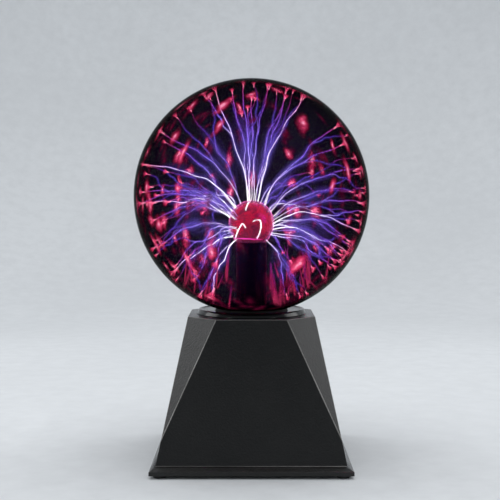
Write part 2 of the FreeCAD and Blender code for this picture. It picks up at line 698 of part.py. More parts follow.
def make_jack():
    """Panel socket: flanged bush through the wall, centre pin, hexagonal nut and two tags."""
    bush, bore, pin, root = "jack_bush / 2", "jack_bore / 2", "jack_pin / 2", "jack_pin_root / 2"
    corners = [
        (bore, "jack_flange_thick"),
        ("jack_flange / 2 - jack_edge", "jack_flange_thick"),
        ("jack_flange / 2", "jack_flange_thick - jack_edge"),
        ("jack_flange / 2", "0"),
        (bush, "0"),
        (bush, "-jack_back"),
        (root, "-jack_back"),
        (root, "-jack_depth"),
        (bore, "-jack_depth"),
    ]
    piece("dc_jack", place_rear(revolved("jack_body", corners), "jack_side"))
    tip = "jack_flange_thick - jack_pin_recess"
    tail = "-jack_back - tag_length"
    pin_corners = [
        ("0", tail),
        (root, tail),
        (root, "-jack_depth"),
        (pin, "-jack_depth"),
        (pin, f"{tip} - jack_edge"),
        (f"{pin} - jack_edge", tip),
        ("0", tip),
    ]
    piece("dc_jack_pin", place_rear(revolved("jack_pin_body", pin_corners), "jack_side"))
    prism = solid("Prism", "jack_nut_blank", ("0", "0", "-cover_wall - jack_nut_thick"), Polygon="6",
                  Circumradius="jack_nut_width / sqrt(3)", Height="jack_nut_thick")
    nut = cut("jack_nut_bored", prism, rod("jack_nut_bore", "jack_bush", "-jack_back", "overrun"))
    piece("dc_jack_nut", place_rear(nut, "jack_side"))
    tag = block("jack_tag", "tag_thick", "tag_width", tail, "-jack_back", "jack_bush / 2 - tag_inset")
    piece("dc_jack_tag", place_rear(group("jack_tag_set", tag), "jack_side"))


# ---- slide switch, in the rear wall's own frame


def make_switch():
    """Housing behind a steel bracket; the slider's knob comes out through the wall's slot."""
    face = "-cover_wall"
    front = "(-cover_wall - bracket_thick)"
    plate = block("bracket_plate", "bracket_length", "cavity_depth + 2 * switch_wall", front, face)
    through = (f"{front} - overrun", "overrun")
    slot = block("bracket_slot", "slot_length", "slot_depth", *through)
    taps = pair("bracket_taps", rod("bracket_tap", "small_shank", *through, "bracket_screws / 2"))
    piece("switch_bracket", place_rear(cut("bracket_cut", plate, slot, taps), "switch_side"))
    shell = block("switch_shell", "cavity_length + 2 * switch_wall", "cavity_depth + 2 * switch_wall",
                  f"{front} - switch_deep", front)
    room = block("switch_room", "cavity_length", "cavity_depth", f"{front} - cavity_thick",
                 f"{front} + overrun")
    piece("switch_housing", place_rear(cut("switch_cut", shell, room), "switch_side"))
    start = "-travel / 2"
    top = f"{front} - slide_gap"
    slider = block("slider_plate", "slider_length", "slider_depth", f"{top} - slider_thick", top, start)
    knob = block("slider_knob", "knob_length", "knob_depth", top, "knob_reach", start)
    piece("switch_slider", place_rear(fuse("slider_joined", slider, knob), "switch_side"))
    rear = f"{front} - switch_deep"
    pins = [block(f"switch_pin_{i}", "pin_thick", "pin_width", f"{rear} - tag_length", rear,
                  f"{i} * travel / 2") for i in (-1, 0, 1)]
    piece("switch_tags", place_rear(group("switch_pin_set", *pins), "switch_side"))
    length = "cover_wall + bracket_thick + bracket_bite"
    one = screw("bracket_screw", "small", length, ("bracket_screws / 2", "0", "0"))
    piece("switch_screws", place_rear(pair("bracket_screw_set", one), "switch_side"))


# ---- wiring


def route(points):
    """Straight runs joined by tangent arcs, each as large as the shorter run beside it allows."""
    edges = []
    start = points[0]
    for before, corner, after in zip(points, points[1:], points[2:]):
        back, ahead = before - corner, after - corner
        reach = 0.45 * min(back.Length, ahead.Length)
        back.normalize()
        ahead.normalize()
        inward = (back + ahead).normalize()
        half = inward.getAngle(back)
        radius = reach * math.tan(half)
        into, out = corner + back * reach, corner + ahead * reach
        middle = corner + inward * (reach / math.cos(half) - radius)
        edges.append(Part.LineSegment(start, into).toShape())
        edges.append(Part.Arc(into, middle, out).toShape())
        print(f"bend radius {radius:.1f}")
        start = out
    edges.append(Part.LineSegment(start, points[-1]).toShape())
    return Part.Wire(edges)


def tube(points, diameter):
    """Round wire along a route, with its volume checked against section times length."""
    path = route(points)
    circle = Part.Circle(points[0], points[1] - points[0], diameter / 2)
    made = path.makePipeShell([Part.Wire(circle.toShape())], True, False)
    expected = math.pi * diameter ** 2 / 4 * path.Length
    if abs(made.Volume - expected) > 0.02 * expected:
        raise RuntimeError("a wire's volume is wrong")
    return made


def rear_point(side, out, across="0"):
    """A point behind the rear wall, in the lamp's own frame."""
    turn = Rotation(Vector(-1, 0, 0), number("90 - atan(slope) / 1 deg"))
    base = Vector(number(side), number("rear_face"), number("rear_height"))
    return base + turn.multVec(Vector(number(across), 0, number(out)))


def wires(label, runs, diameter):
    """Insulated wires, each the shape of its own route."""
    item = doc.addObject("Part::Feature", f"{label}_runs")
    item.Shape = Part.makeCompound([tube(points, number(diameter)) for points in runs])
    item.Placement = Placement()
    return piece(label, item)


def lead(fitting, plug, back, across, pin):
    """A wire's route: out of a rear fitting, up over the board and down into its connector."""
    x, y = (number(text) for text in board_place(plug))
    foot = Vector(x + pin * number("wire_pitch"), y, number("board_top"))
    rise = number("wire_rise")
    return [
        rear_point(f"{fitting}_side", back, across),
        rear_point(f"{fitting}_side", f"{back} - {fitting}_wire_out", across),
        foot + Vector(number(f"{fitting}_wire_lean"), number("wire_reach"), rise - 1),
        foot + Vector(0, 0, rise),
        foot + Vector(0, 0, number(f"{plug}_tall")),
    ]


def make_wiring():
    tags = (("0", -0.5), ("jack_bush / 2 - tag_inset", 0.5))
    power = [lead("jack", "power_connector", "-jack_back - tag_length", across, pin) for across, pin in tags]
    rear = "-cover_wall - bracket_thick - switch_deep - tag_length"
    sound = [lead("switch", "switch_connector", rear, f"{pin} * travel / 2", pin) for pin in (-1, 0, 1)]
    wires("power_wires", power, "wire_diameter")
    wires("switch_wires", sound, "wire_diameter")
    leaves = Vector(number("ferrite_across + (ferrite_span - ferrite_leg) / 2"),
                    number("board_shift + ferrite_back + secondary_diameter / 2 - hv_wire_inset"),
                    number("board_top + clip_thick + ferrite_height - ferrite_leg - winding_gap"))
    ends = Vector(0, 0, number("flare_low - boot_cap"))
    upright = Vector(0, 0, 0.3 * (ends.z - leaves.z))
    wires("high_voltage_lead", [[leaves, leaves + upright, ends - upright, ends]], "hv_wire_diameter")


def check(items):
    """Refuse a document with a failed object or a sub-part without a sound shape."""
    for item in doc.Objects:
        if "Invalid" in item.State or "Error" in item.State:
            raise RuntimeError(f"{item.Name} failed: {item.State}")
    for item in items:
        if item.Shape.isNull() or not item.Shape.isValid():
            raise RuntimeError(f"{item.Label} has no sound shape")


def main():
    fill_sheet()
    makers = (
        make_plinth, make_cover, make_feet, make_plinth_screws, make_collar, make_globe, make_neck_clamp,
        make_electrode, make_board, make_transformer, make_heatsink, make_small_components, make_jack,
        make_switch,
    )
    for make in makers:
        make()
    doc.recompute()
    make_wiring()
    doc.recompute()
    check(pieces)
    os.makedirs("parts", exist_ok=True)
    for item in pieces:
        item.Shape.exportStep(f"parts/{item.Label}.step")
        print(item.Label, len(item.Shape.Solids), round(item.Shape.Volume, 1))
    print(len(pieces), "sub-parts")


main()
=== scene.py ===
"""Plasma ball lamp: how it looks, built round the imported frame. Metres, +Z up, front towards -Y."""
import random
from math import asin, cos, degrees, log, pi, radians, sin, sqrt

import bmesh
import bpy
from bpy.props import FloatProperty, FloatVectorProperty, IntProperty, PointerProperty
from mathutils import Matrix, Vector


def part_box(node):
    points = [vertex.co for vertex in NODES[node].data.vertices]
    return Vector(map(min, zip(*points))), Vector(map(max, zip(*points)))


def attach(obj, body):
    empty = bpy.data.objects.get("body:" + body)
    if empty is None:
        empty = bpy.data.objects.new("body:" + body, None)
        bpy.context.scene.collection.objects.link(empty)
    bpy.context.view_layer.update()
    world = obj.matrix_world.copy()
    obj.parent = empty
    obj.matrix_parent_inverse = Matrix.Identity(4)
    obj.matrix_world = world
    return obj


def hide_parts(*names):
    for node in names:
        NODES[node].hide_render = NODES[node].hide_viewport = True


bl_info = {
    "name": "Plasma Ball Lamp",
    "version": (1, 0, 0),
    "blender": (4, 5, 0),
    "location": "3D View > Sidebar > Plasma Ball",
    "description": "Builds a plasma ball lamp's glass, discharge and housing, one operator per piece",
    "category": "Add Mesh",
}

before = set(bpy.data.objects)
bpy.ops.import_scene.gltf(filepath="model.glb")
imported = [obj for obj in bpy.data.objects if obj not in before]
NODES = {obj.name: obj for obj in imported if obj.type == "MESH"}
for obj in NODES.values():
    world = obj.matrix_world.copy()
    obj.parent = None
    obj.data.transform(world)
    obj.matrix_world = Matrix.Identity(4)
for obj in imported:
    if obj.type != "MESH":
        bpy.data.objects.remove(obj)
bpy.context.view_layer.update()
MM = 0.001
UP = Vector((0, 0, 1))


def middle(node):
    """The middle of a frame node's box."""
    low, high = (Vector(corner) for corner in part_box(node))
    return (low + high) / 2


def span(node):
    """The three widths of a frame node's box."""
    low, high = (Vector(corner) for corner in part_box(node))
    return high - low


def low_of(node):
    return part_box(node)[0][2]


def high_of(node):
    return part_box(node)[1][2]


GLOBE_RADIUS = span("globe").x / 2
GLOBE_MID = Vector((0, 0, high_of("globe") - GLOBE_RADIUS))
CORE_MID = middle("electrode_core")
CORE_RADIUS = span("electrode_core").x / 2
SLEEVE_RADIUS = span("stem_sleeve").x / 2


# ---- sizes and colours a user would change


def colour(code):
    """An sRGB hex colour as the linear numbers that shaders read; a picked colour is linear already."""
    if not isinstance(code, str):
        return tuple(code)
    parts = [int(code[i:i + 2], 16) / 255 for i in (1, 3, 5)]
    return tuple(p / 12.92 if p <= 0.04045 else ((p + 0.055) / 1.055) ** 2.4 for p in parts) + (1.0,)


def length(name, default, description):
    return FloatProperty(name=name, description=description, default=default, min=0.0, precision=5,
                         subtype="DISTANCE", unit="LENGTH")


def number(name, default, description, unit="NONE"):
    return FloatProperty(name=name, description=description, default=default, unit=unit)


def hue(name, default, description):
    return FloatVectorProperty(name=name, description=description, default=colour(default), size=4, min=0.0,
                               max=1.0, subtype="COLOR")


class PlasmaGlass(bpy.types.PropertyGroup):
    """Glass of the globe and of the electrode inside it."""
    wall: length("Globe wall", 2 * MM, "Thickness of the blown globe")
    bulb_wall: length("Bulb wall", 1.6 * MM, "Distance from the core to the electrode's outer surface")
    # painted shade: the wall lets little light through, so the globe looks as dark as in a dark room
    pass_through: FloatProperty(name="Light passed", default=0.11, min=0.01, max=1.0, subtype="FACTOR",
                                description="Share of light that one globe wall lets through")
    bulb_tint: hue("Bulb tint", "#FFE3EA", "Tint of the electrode's glass")


class PlasmaDischarge(bpy.types.PropertyGroup):
    """The glowing gas between the electrode and the globe."""
    seed: IntProperty(name="Seed", description="Which of the endless discharges is frozen", default=7)
    sheaves: IntProperty(name="Sheaves", default=14, min=0,
                         description="Bundles of streamers sent out at random, beside the front ones")
    thickness: length("Streamer radius", 0.4 * MM, "Radius of a streamer halfway out")
    wander: length("Wander", 3.0 * MM, "How far a streamer strays from its arc")
    # the gas is brightened to make up for the globe's painted shade
    power: number("Power", 11.0, "Brightness of the gas, made up for what the smoked globe takes")
    core: hue("Core colour", "#E8002B", "Colour of the electrode's core")
    core_spot: hue("Core patch colour", "#F01E8C", "Colour of the brighter patches on the core")


class PlasmaHousing(bpy.types.PropertyGroup):
    """Moulded housing, collar and feet."""
    # the cover's broken edges carry a painted highlight, a light grey line for the light they catch
    edge: length("Broken edge", 0.9 * MM, "Width of the rubbed flat on the moulded edges")
    # the real grain is about 0.2 mm apart, too fine to show, so it is drawn coarser
    grain: length("Grain", 1.6 * MM, "Spacing of the mould's spark-eroded grain")
    shell: hue("Shell colour", "#0D0D0C", "Colour of the housing")
    collar: hue("Collar colour", "#0A0A0B", "Colour of the polished collar")


class PlasmaStage(bpy.types.PropertyGroup):
    """Floor, light and camera."""
    distance: length("Camera distance", 0.887, "From the lamp's axis to the camera")
    eye: length("Camera height", 0.2154, "Height of the camera over the floor")
    lens: number("Lens", 74.9, "Focal length", "CAMERA")
    floor: hue("Floor colour", "#DADDE0", "Colour of the plain floor")
    side: number("Side light", 3.6, "Power of each side softbox", "POWER")
    edge: number("Edge light", 1.2, "Power of each narrow strip that draws the edges", "POWER")
    top: number("Top light", 7.0, "Power of the softbox over the lamp", "POWER")
    front: number("Front light", 3.5, "Power of the strip above the camera, for lips and rims", "POWER")
    overhead: number("Overhead light", 32.0, "Power of the light on the floor", "POWER")


GROUPS = {"plasma_glass": PlasmaGlass, "plasma_discharge": PlasmaDischarge,
          "plasma_housing": PlasmaHousing, "plasma_stage": PlasmaStage}


# ---- materials


def add(tree, kind, inputs=None, stops=(), **settings):
    """Adds a node. Settings are its own properties, inputs its sockets' values or what feeds them (a node
    feeds by its first output), and stops a colour ramp's places and colours."""
    made = tree.nodes.new(kind)
    for name, value in settings.items():
        setattr(made, name, value)
    for socket, value in (inputs or {}).items():
        if isinstance(value, bpy.types.Node):
            value = value.outputs[0]
        if isinstance(value, bpy.types.NodeSocket):
            tree.links.new(value, made.inputs[socket])
        else:
            made.inputs[socket].default_value = value
    if stops:
        points = made.color_ramp.elements
        points.remove(points[1])
        points[0].position, points[0].color = stops[0][0], colour(stops[0][1])
        for place, code in stops[1:]:
            points.new(place).color = colour(code)
    return made


def blank(name):
    """An empty node material, its tree and its output."""
    made = bpy.data.materials.new(name)
    made.use_nodes = True
    made.node_tree.nodes.clear()
    return made, made.node_tree, add(made.node_tree, "ShaderNodeOutputMaterial")


def solid_finish(name, light, dark, rough=(0.35, 0.5), grain=1.43 * MM, bump=0.1, stretch=(1, 1, 1),
                 deep=0.2 * MM, **sockets):
    """An opaque finish: two close colours and a range of roughness over a grain of this spacing.

    Most real grains are under 0.3 mm. They are drawn coarser, since they wouldn't show."""
    made, tree, out = blank(name)
    clouds = 22 * grain
    where = add(tree, "ShaderNodeTexCoord").outputs["Object"]
    where = add(tree, "ShaderNodeMapping", {"Vector": where, "Scale": stretch})
    grains = add(tree, "ShaderNodeTexNoise", {"Vector": where, "Scale": 1 / grain, "Detail": 3.0,
                                              "Roughness": 0.6})
    cloud = add(tree, "ShaderNodeTexNoise", {"Vector": where, "Scale": 1 / clouds,
                                             "Detail": 2.0})
    both = add(tree, "ShaderNodeMath", {0: grains, 1: cloud}, operation="MULTIPLY")
    tone = add(tree, "ShaderNodeValToRGB", {"Fac": both}, [(0.15, dark), (0.4, light)])
    spread = add(tree, "ShaderNodeMapRange", {"Value": cloud, "From Min": 0.3, "From Max": 0.7,
                                              "To Min": rough[0], "To Max": rough[1]})
    lift = add(tree, "ShaderNodeBump", {"Height": grains, "Strength": bump, "Distance": deep})
    skin = {"Base Color": tone, "Roughness": spread, "Normal": lift}
    shader = add(tree, "ShaderNodeBsdfPrincipled", {**skin, **sockets})
    tree.links.new(shader.outputs[0], out.inputs["Surface"])
    return made


def moulded_abs():
    """ABS moulded in a spark-eroded tool: near black, with a fine dull grain that greys in raking light."""
    base = bpy.context.scene.plasma_housing
    sheen = {"IOR": 1.45, "Coat Weight": 0.5, "Coat Roughness": 0.12, "Coat IOR": 1.3}
    return solid_finish("abs_moulded_grained", base.shell, "#060606", (0.34, 0.4), base.grain, bump=1.0,
                        deep=0.6 * MM, **sheen)


def edge_highlight_abs():
    """The same ABS with a painted highlight on its broken edges: a thin light grey line that stands in for
    the light the edges catch.
    """
    return solid_finish("abs_edge_painted_highlight", "#A8A5A2", "#6E6C6A", (0.3, 0.4), bump=0.05, IOR=1.53)


def polished_abs():
    """ABS from a polished tool: a black mirror, a little soft, so it shows long clean streaks."""
    tone = bpy.context.scene.plasma_housing.collar
    return solid_finish("abs_polished", tone, "#060607", (0.13, 0.18), 3.33 * MM, bump=0.02, IOR=1.53)


def shrunk_polyolefin():
    """Heat-shrunk tube: satin black, with the soft lengthwise marks of shrinking."""
    return solid_finish("polyolefin_shrunk", "#121014", "#08070A", (0.25, 0.38), 2 * MM, bump=0.06,
                        stretch=(1, 1, 0.12))


def moulded_silicone():
    """Silicone from a matt tool: soft and dull, with no streaks of light."""
    return solid_finish("silicone_moulded", "#1B1B1C", "#111112", (0.55, 0.7), 1.11 * MM, bump=0.2)


def metal(name, light, dark, rough, grain=1.11 * MM, stretch=(1, 1, 1)):
    """Bare or plated metal, with fine marks that run along it where stretch draws them out."""
    return solid_finish(name, light, dark, (rough, rough + 0.1), grain, 0.05, stretch, Metallic=1.0)


def shade_darkened_glass():
    """Blown soda-lime glass, darkened as painted shade that stands in for a dark room: clear to the
    discharge, black to the room and at its rim.

    Its index is near that of air, so that the rim mirrors little of the pale room."""
    glass = bpy.context.scene.plasma_glass
    made, tree, out = blank("soda_glass_shade_darkened")
    # painted shade: the coat's tint and the body's absorption together darken the globe
    body_pass, grey = 0.76, 0.8
    density = -log(body_pass) / (glass.wall * (1 - grey))
    coat_pass = glass.pass_through / body_pass
    tint = (coat_pass, coat_pass, coat_pass, 1)
    coat = add(tree, "ShaderNodeBsdfPrincipled", {"Base Color": tint, "Roughness": 0.0, "IOR": 1.015,
                                                  "Transmission Weight": 1.0})
    body = add(tree, "ShaderNodeVolumeAbsorption", {"Color": (grey, grey, grey, 1), "Density": density})
    tree.links.new(coat.outputs[0], out.inputs["Surface"])
    tree.links.new(body.outputs[0], out.inputs["Volume"])
    return made


def clear_glass():
    """Thin lamp-blown glass, faintly pink from the coat inside it, that hardly bends the core's edge."""
    made, tree, out = blank("borosilicate_blown")
    tint = colour(bpy.context.scene.plasma_glass.bulb_tint)
    shader = add(tree, "ShaderNodeBsdfPrincipled", {"Base Color": tint, "Roughness": 0.0, "IOR": 1.12,
                                                    "Transmission Weight": 1.0})
    tree.links.new(shader.outputs[0], out.inputs["Surface"])
    return made


def glowing_core():
    """Conductive wool behind pink-lit glass: deep red with magenta patches, darker towards the stem."""
    gas = bpy.context.scene.plasma_discharge
    made, tree, out = blank("steel_wool_glowing")
    where = add(tree, "ShaderNodeTexCoord").outputs["Object"]
    patch_size = 14.29 * MM
    drift = add(tree, "ShaderNodeTexNoise", {"Vector": where, "Scale": 1 / patch_size, "Detail": 2.0})
    tone = add(tree, "ShaderNodeValToRGB", {"Fac": drift},
               [(0.34, "#7A0010"), (0.46, "#C40022"), (0.56, gas.core), (0.66, gas.core_spot)])
    height = add(tree, "ShaderNodeSeparateXYZ", {"Vector": where}).outputs["Z"]
    low, lit = CORE_MID.z - CORE_RADIUS, CORE_MID.z - CORE_RADIUS * 0.3
    shade = add(tree, "ShaderNodeMapRange", {"Value": height, "From Min": low, "From Max": lit,
                                             "To Min": 0.12, "To Max": gas.power * 0.42})
    light = add(tree, "ShaderNodeEmission", {"Color": tone, "Strength": shade})
    tree.links.new(light.outputs[0], out.inputs["Surface"])
    made.cycles.emission_sampling = "NONE"
    return made


def glowing_volume(name, film, tone, strength):
    """Gas that gives light all through it and hides nothing; its clear film has a colour of its own."""
    made, tree, out = blank(name)
    clear = add(tree, "ShaderNodeBsdfPrincipled", {"Base Color": colour(film), "Alpha": 0.0})
    power = bpy.context.scene.plasma_discharge.power
    light = add(tree, "ShaderNodeEmission", {"Color": colour(tone), "Strength": power * strength})
    tree.links.new(clear.outputs[0], out.inputs["Surface"])
    tree.links.new(light.outputs[0], out.inputs["Volume"])
    return made


def glow_shell():
    """Thin layer of ionised gas clinging to the electrode: seen edge-on it is a bright pink line."""
    return glowing_volume("gas_glow_layer", "#FF8FD0", "#FF7ACE", 150)


def gas_mist():
    """The faint violet light of the whole filling, too thin to hide anything behind it."""
    return glowing_volume("gas_mist", "#7A4CE0", "#8A3CD8", 0.07)


def streamer_gas(name, stops, strength):
    """A thin hot channel in the gas: its colour cools from the electrode to the globe."""
    made, tree, out = blank(name)
    uv = add(tree, "ShaderNodeUVMap", uv_map="UVMap")
    along = add(tree, "ShaderNodeSeparateXYZ", {"Vector": uv})
    tone = add(tree, "ShaderNodeValToRGB", {"Fac": along.outputs["X"]}, stops)
    power = bpy.context.scene.plasma_discharge.power
    light = add(tree, "ShaderNodeEmission", {"Color": tone, "Strength": power * strength})
    tree.links.new(light.outputs[0], out.inputs["Surface"])
    made.cycles.emission_sampling = "NONE"
    return made


def glow_over_air(made, tree, out, along, stops, soft, share, strength):
    """Light where soft is 1, coloured by stops as along runs from 0 to 1, and clear air where soft is 0."""
    power = bpy.context.scene.plasma_discharge.power
    tone = add(tree, "ShaderNodeValToRGB", {"Fac": along}, stops)
    light = add(tree, "ShaderNodeEmission", {"Color": tone, "Strength": power * strength})
    air = add(tree, "ShaderNodeBsdfTransparent")
    thin = add(tree, "ShaderNodeMath", {0: soft, 1: share}, operation="MULTIPLY")
    mixed = add(tree, "ShaderNodeMixShader", {0: thin, 1: air, 2: light})
    tree.links.new(mixed.outputs[0], out.inputs["Surface"])
    made.cycles.emission_sampling = "NONE"
    return made


def ribbon_glow(name, stops, strength, share, streaks=0.0):
    """Glow along a ribbon of gas that thins to nothing at its edges and both ends. Streaks sets how many
    bright bands lie across it."""
    made, tree, out = blank(name)
    uv = add(tree, "ShaderNodeUVMap", uv_map="UVMap")
    part = add(tree, "ShaderNodeSeparateXYZ", {"Vector": uv})
    off = add(tree, "ShaderNodeMath", {0: part.outputs["Y"], 1: 0.5}, operation="SUBTRACT")
    far = add(tree, "ShaderNodeMath", {0: off}, operation="ABSOLUTE")
    left = add(tree, "ShaderNodeMapRange", {"Value": far, "From Min": 0.5, "From Max": 0.0})
    soft = add(tree, "ShaderNodeMath", {0: left, 1: 1.6}, operation="POWER")
    head = add(tree, "ShaderNodeMapRange", {"Value": part.outputs["X"], "From Min": 0.0, "From Max": 0.12})
    tail = add(tree, "ShaderNodeMapRange", {"Value": part.outputs["X"], "From Min": 1.0, "From Max": 0.8})
    gates = [head, tail]
    if streaks:
        stretched = add(tree, "ShaderNodeMapping", {"Vector": uv, "Scale": (3.0, streaks, 1.0)})
        spot = add(tree, "ShaderNodeTexCoord").outputs["Object"]
        drift = add(tree, "ShaderNodeVectorMath", {0: stretched, 1: spot}, operation="ADD")
        noise = add(tree, "ShaderNodeTexNoise", {"Vector": drift, "Scale": 1.0, "Detail": 3.0})
        gates.append(add(tree, "ShaderNodeMapRange", {"Value": noise, "From Min": 0.35,
                                                      "From Max": 0.7}))
    for gate in gates:
        soft = add(tree, "ShaderNodeMath", {0: soft, 1: gate}, operation="MULTIPLY")
    return glow_over_air(made, tree, out, part.outputs["X"], stops, soft, share, strength)


def patch_glow(name, stops, strength, share, ragged, drift_size):
    """Glow on a patch of the glass: hottest in the middle, its rim ragged where the gas drifts."""
    made, tree, out = blank(name)
    uv = add(tree, "ShaderNodeUVMap", uv_map="UVMap")
    where = add(tree, "ShaderNodeTexCoord").outputs["Object"]
    drift = add(tree, "ShaderNodeTexNoise", {"Vector": where, "Scale": 1 / drift_size, "Detail": 2.0})
    push = add(tree, "ShaderNodeVectorMath", {0: drift.outputs["Color"], 1: (0.5, 0.5, 0.5)},
               operation="SUBTRACT")
    push = add(tree, "ShaderNodeVectorMath", {0: push, 1: (ragged, ragged, 0)},
               operation="MULTIPLY")
    moved = add(tree, "ShaderNodeVectorMath", {0: uv, 1: push}, operation="ADD")
    far = add(tree, "ShaderNodeVectorMath", {0: moved, 1: (0.5, 0.5, 0)}, operation="DISTANCE")
    far = far.outputs["Value"]
    left = add(tree, "ShaderNodeMapRange", {"Value": far, "From Min": 0.42, "From Max": 0.04})
    soft = add(tree, "ShaderNodeMath", {0: left, 1: 1.9}, operation="POWER")
    return glow_over_air(made, tree, out, left, stops, soft, share, strength)


# ---- shaping


def empty_mesh():
    shape = bmesh.new()
    shape.loops.layers.uv.new("UVMap")
    return shape


def keep(shape, name, body, materials, smooth=40):
    """Turns a bmesh into a named piece that rides on a body, shaded smooth except over sharp edges."""
    mesh = bpy.data.meshes.new(name)
    shape.to_mesh(mesh)
    shape.free()
    return keep_mesh(mesh, name, body, materials, smooth)


def keep_mesh(mesh, name, body, materials, smooth=40):
    piece = bpy.data.objects.new(name, mesh)
    bpy.context.scene.collection.objects.link(piece)
    for made in materials:
        mesh.materials.append(made)
    if smooth:
        mesh.shade_smooth()
        mesh.set_sharp_from_angle(angle=radians(smooth))
    if body:
        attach(piece, body)
    return piece


def line_to(shape, tip, x, z):
    """Carries a half-section straight to (x, z)."""
    made = bmesh.ops.extrude_vert_indiv(shape, verts=[tip])["verts"][0]
    made.co = Vector((x, 0, z))
    return made


def arc_round(shape, tip, x, z, turn, steps):
    """Carries a half-section round (x, z), turning by this many degrees from +Z towards +X."""
    swept = bmesh.ops.spin(shape, geom=[tip], cent=(x, 0, z), axis=(0, 1, 0), angle=radians(turn),
                           steps=steps, dvec=(0, 0, 0), use_merge=False)
    return [g for g in swept["geom_last"] if isinstance(g, bmesh.types.BMVert)][0]


def turned(shape, steps=128, weld=1e-6):
    """Turns the half-section in a bmesh about the lamp's axis into a closed solid."""
    bmesh.ops.spin(shape, geom=shape.verts[:] + shape.edges[:], cent=(0, 0, 0), axis=(0, 0, 1),
                   angle=2 * pi, steps=steps, dvec=(0, 0, 0), use_merge=True)
    bmesh.ops.remove_doubles(shape, verts=shape.verts, dist=weld)
    bmesh.ops.recalc_face_normals(shape, faces=shape.faces)


def lathe(corners, steps=128):
    """A closed solid turned from straight-sided corners (x, z); the last corner joins the first."""
    shape = bmesh.new()
    first = tip = shape.verts.new((corners[0][0], 0, corners[0][1]))
    for x, z in corners[1:]:
        tip = line_to(shape, tip, x, z)
    if first.co.x > 1e-6 or tip.co.x > 1e-6:
        shape.edges.new((tip, first))
    turned(shape, steps)
    return shape


def recut(node, name, finish, edge, body="lamp", edge_finish=None, shortest=0.0):
    """The frame's own shape as one skin. Sharp edges longer than shortest are broken, in their own finish
    if one is given."""
    angle = 25
    shape = bmesh.new()
    shape.from_mesh(NODES[node].data)
    bmesh.ops.remove_doubles(shape, verts=shape.verts, dist=2e-6)
    bmesh.ops.dissolve_limit(shape, angle_limit=radians(0.5), verts=shape.verts, edges=shape.edges)
    broken = shape.edges.layers.float.new("bevel_weight_edge")
    for line in shape.edges:
        sharp = len(line.link_faces) == 2 and line.calc_face_angle() > radians(angle)
        line[broken] = 1.0 if sharp and line.calc_length() > shortest else 0.0
    finishes = [finish, edge_finish] if edge_finish else [finish]
    piece = keep(shape, name, body, finishes, smooth=angle)
    if edge:
        cut = piece.modifiers.new("edges", "BEVEL")
        cut.offset_type = "WIDTH"
        cut.width = edge
        cut.segments = 2
        cut.limit_method = "WEIGHT"
        cut.harden_normals = True
        cut.use_clamp_overlap = False
        cut.material = len(finishes) - 1 if edge_finish else -1
    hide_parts(node)


def flask(outer, inner, tube_outer, tube_inner, foot):
    """A hollow ball round the core that opens below into a tube ending at height foot."""
    turn = 122  # from the ball's top to where it opens
    shape = bmesh.new()
    tip = shape.verts.new((0, 0, CORE_MID.z + outer))
    tip = arc_round(shape, tip, 0, CORE_MID.z, turn, 36)
    tip = line_to(shape, tip, tube_outer, foot)
    tip = line_to(shape, tip, tube_inner, foot)
    tip = line_to(shape, tip, inner * sin(radians(turn)), CORE_MID.z + inner * cos(radians(turn)))
    arc_round(shape, tip, 0, CORE_MID.z, -turn, 36)
    turned(shape, 96)
    return shape


# ---- discharge paths

# bundles seen from the front: where each leaves the bulb, then where its streamers end on the globe, as
# azimuth and height in degrees
FRONT_SHEAVES = [
    ((-95, 62), (-72, 34), (-52, 48)),
    ((-80, 80), (-58, 68), (-140, 74)),
    ((0, 86), (-20, 78), (30, 74)),
    ((80, 76), (62, 60), (130, 66)),
    ((92, 54), (74, 38), (60, 26)),
    ((-100, 44), (-84, 16), (-112, 30)),
    ((-88, 18), (-78, -4), (-98, 2), (-60, 4)),
    ((95, 30), (84, 14), (100, 20)),
    ((90, 12), (80, -4), (102, -10), (64, 0)),
    ((92, -4), (84, -18), (72, -24), (98, -26)),
    ((88, -18), (76, -30), (88, -36), (60, -28)),
    ((-92, -14), (-80, -28), (-106, -24)),
    ((-78, -34), (-66, -42), (-88, -48)),
    ((88, -30), (76, -36), (98, -40), (58, -44)),
    ((-60, -44), (-40, -58), (-100, -62)),
    ((62, -46), (38, -60), (96, -64)),
]
CHANNEL_GAP = 0.3 * MM  # between a streamer and the globe's inner surface
FORK_CHANCE = 0.7
UPPER_LEFT_OUT = 0.75  # share of the random ways into the top of the globe that are passed over


def aim(azimuth, height):
    """Direction by azimuth, 0 at the front and growing to the right, and height over level, in degrees."""
    a, h = radians(azimuth), radians(height)
    return Vector((sin(a) * cos(h), -cos(a) * cos(h), sin(h)))


def scatter(rng, count, apart, allowed):
    """Directions at least apart degrees from each other."""
    found = []
    tries = 0
    while len(found) < count and tries < 20000:
        tries += 1
        one = Vector((rng.gauss(0, 1), rng.gauss(0, 1), rng.gauss(0, 1))).normalized()
        if allowed(one) and all(one.angle(other) > radians(apart) for other in found):
            found.append(one)
    return found


def bezier(points, t):
    a, b, c, d = points
    s = 1 - t
    return a * s ** 3 + b * 3 * s * s * t + c * 3 * s * t * t + d * t ** 3


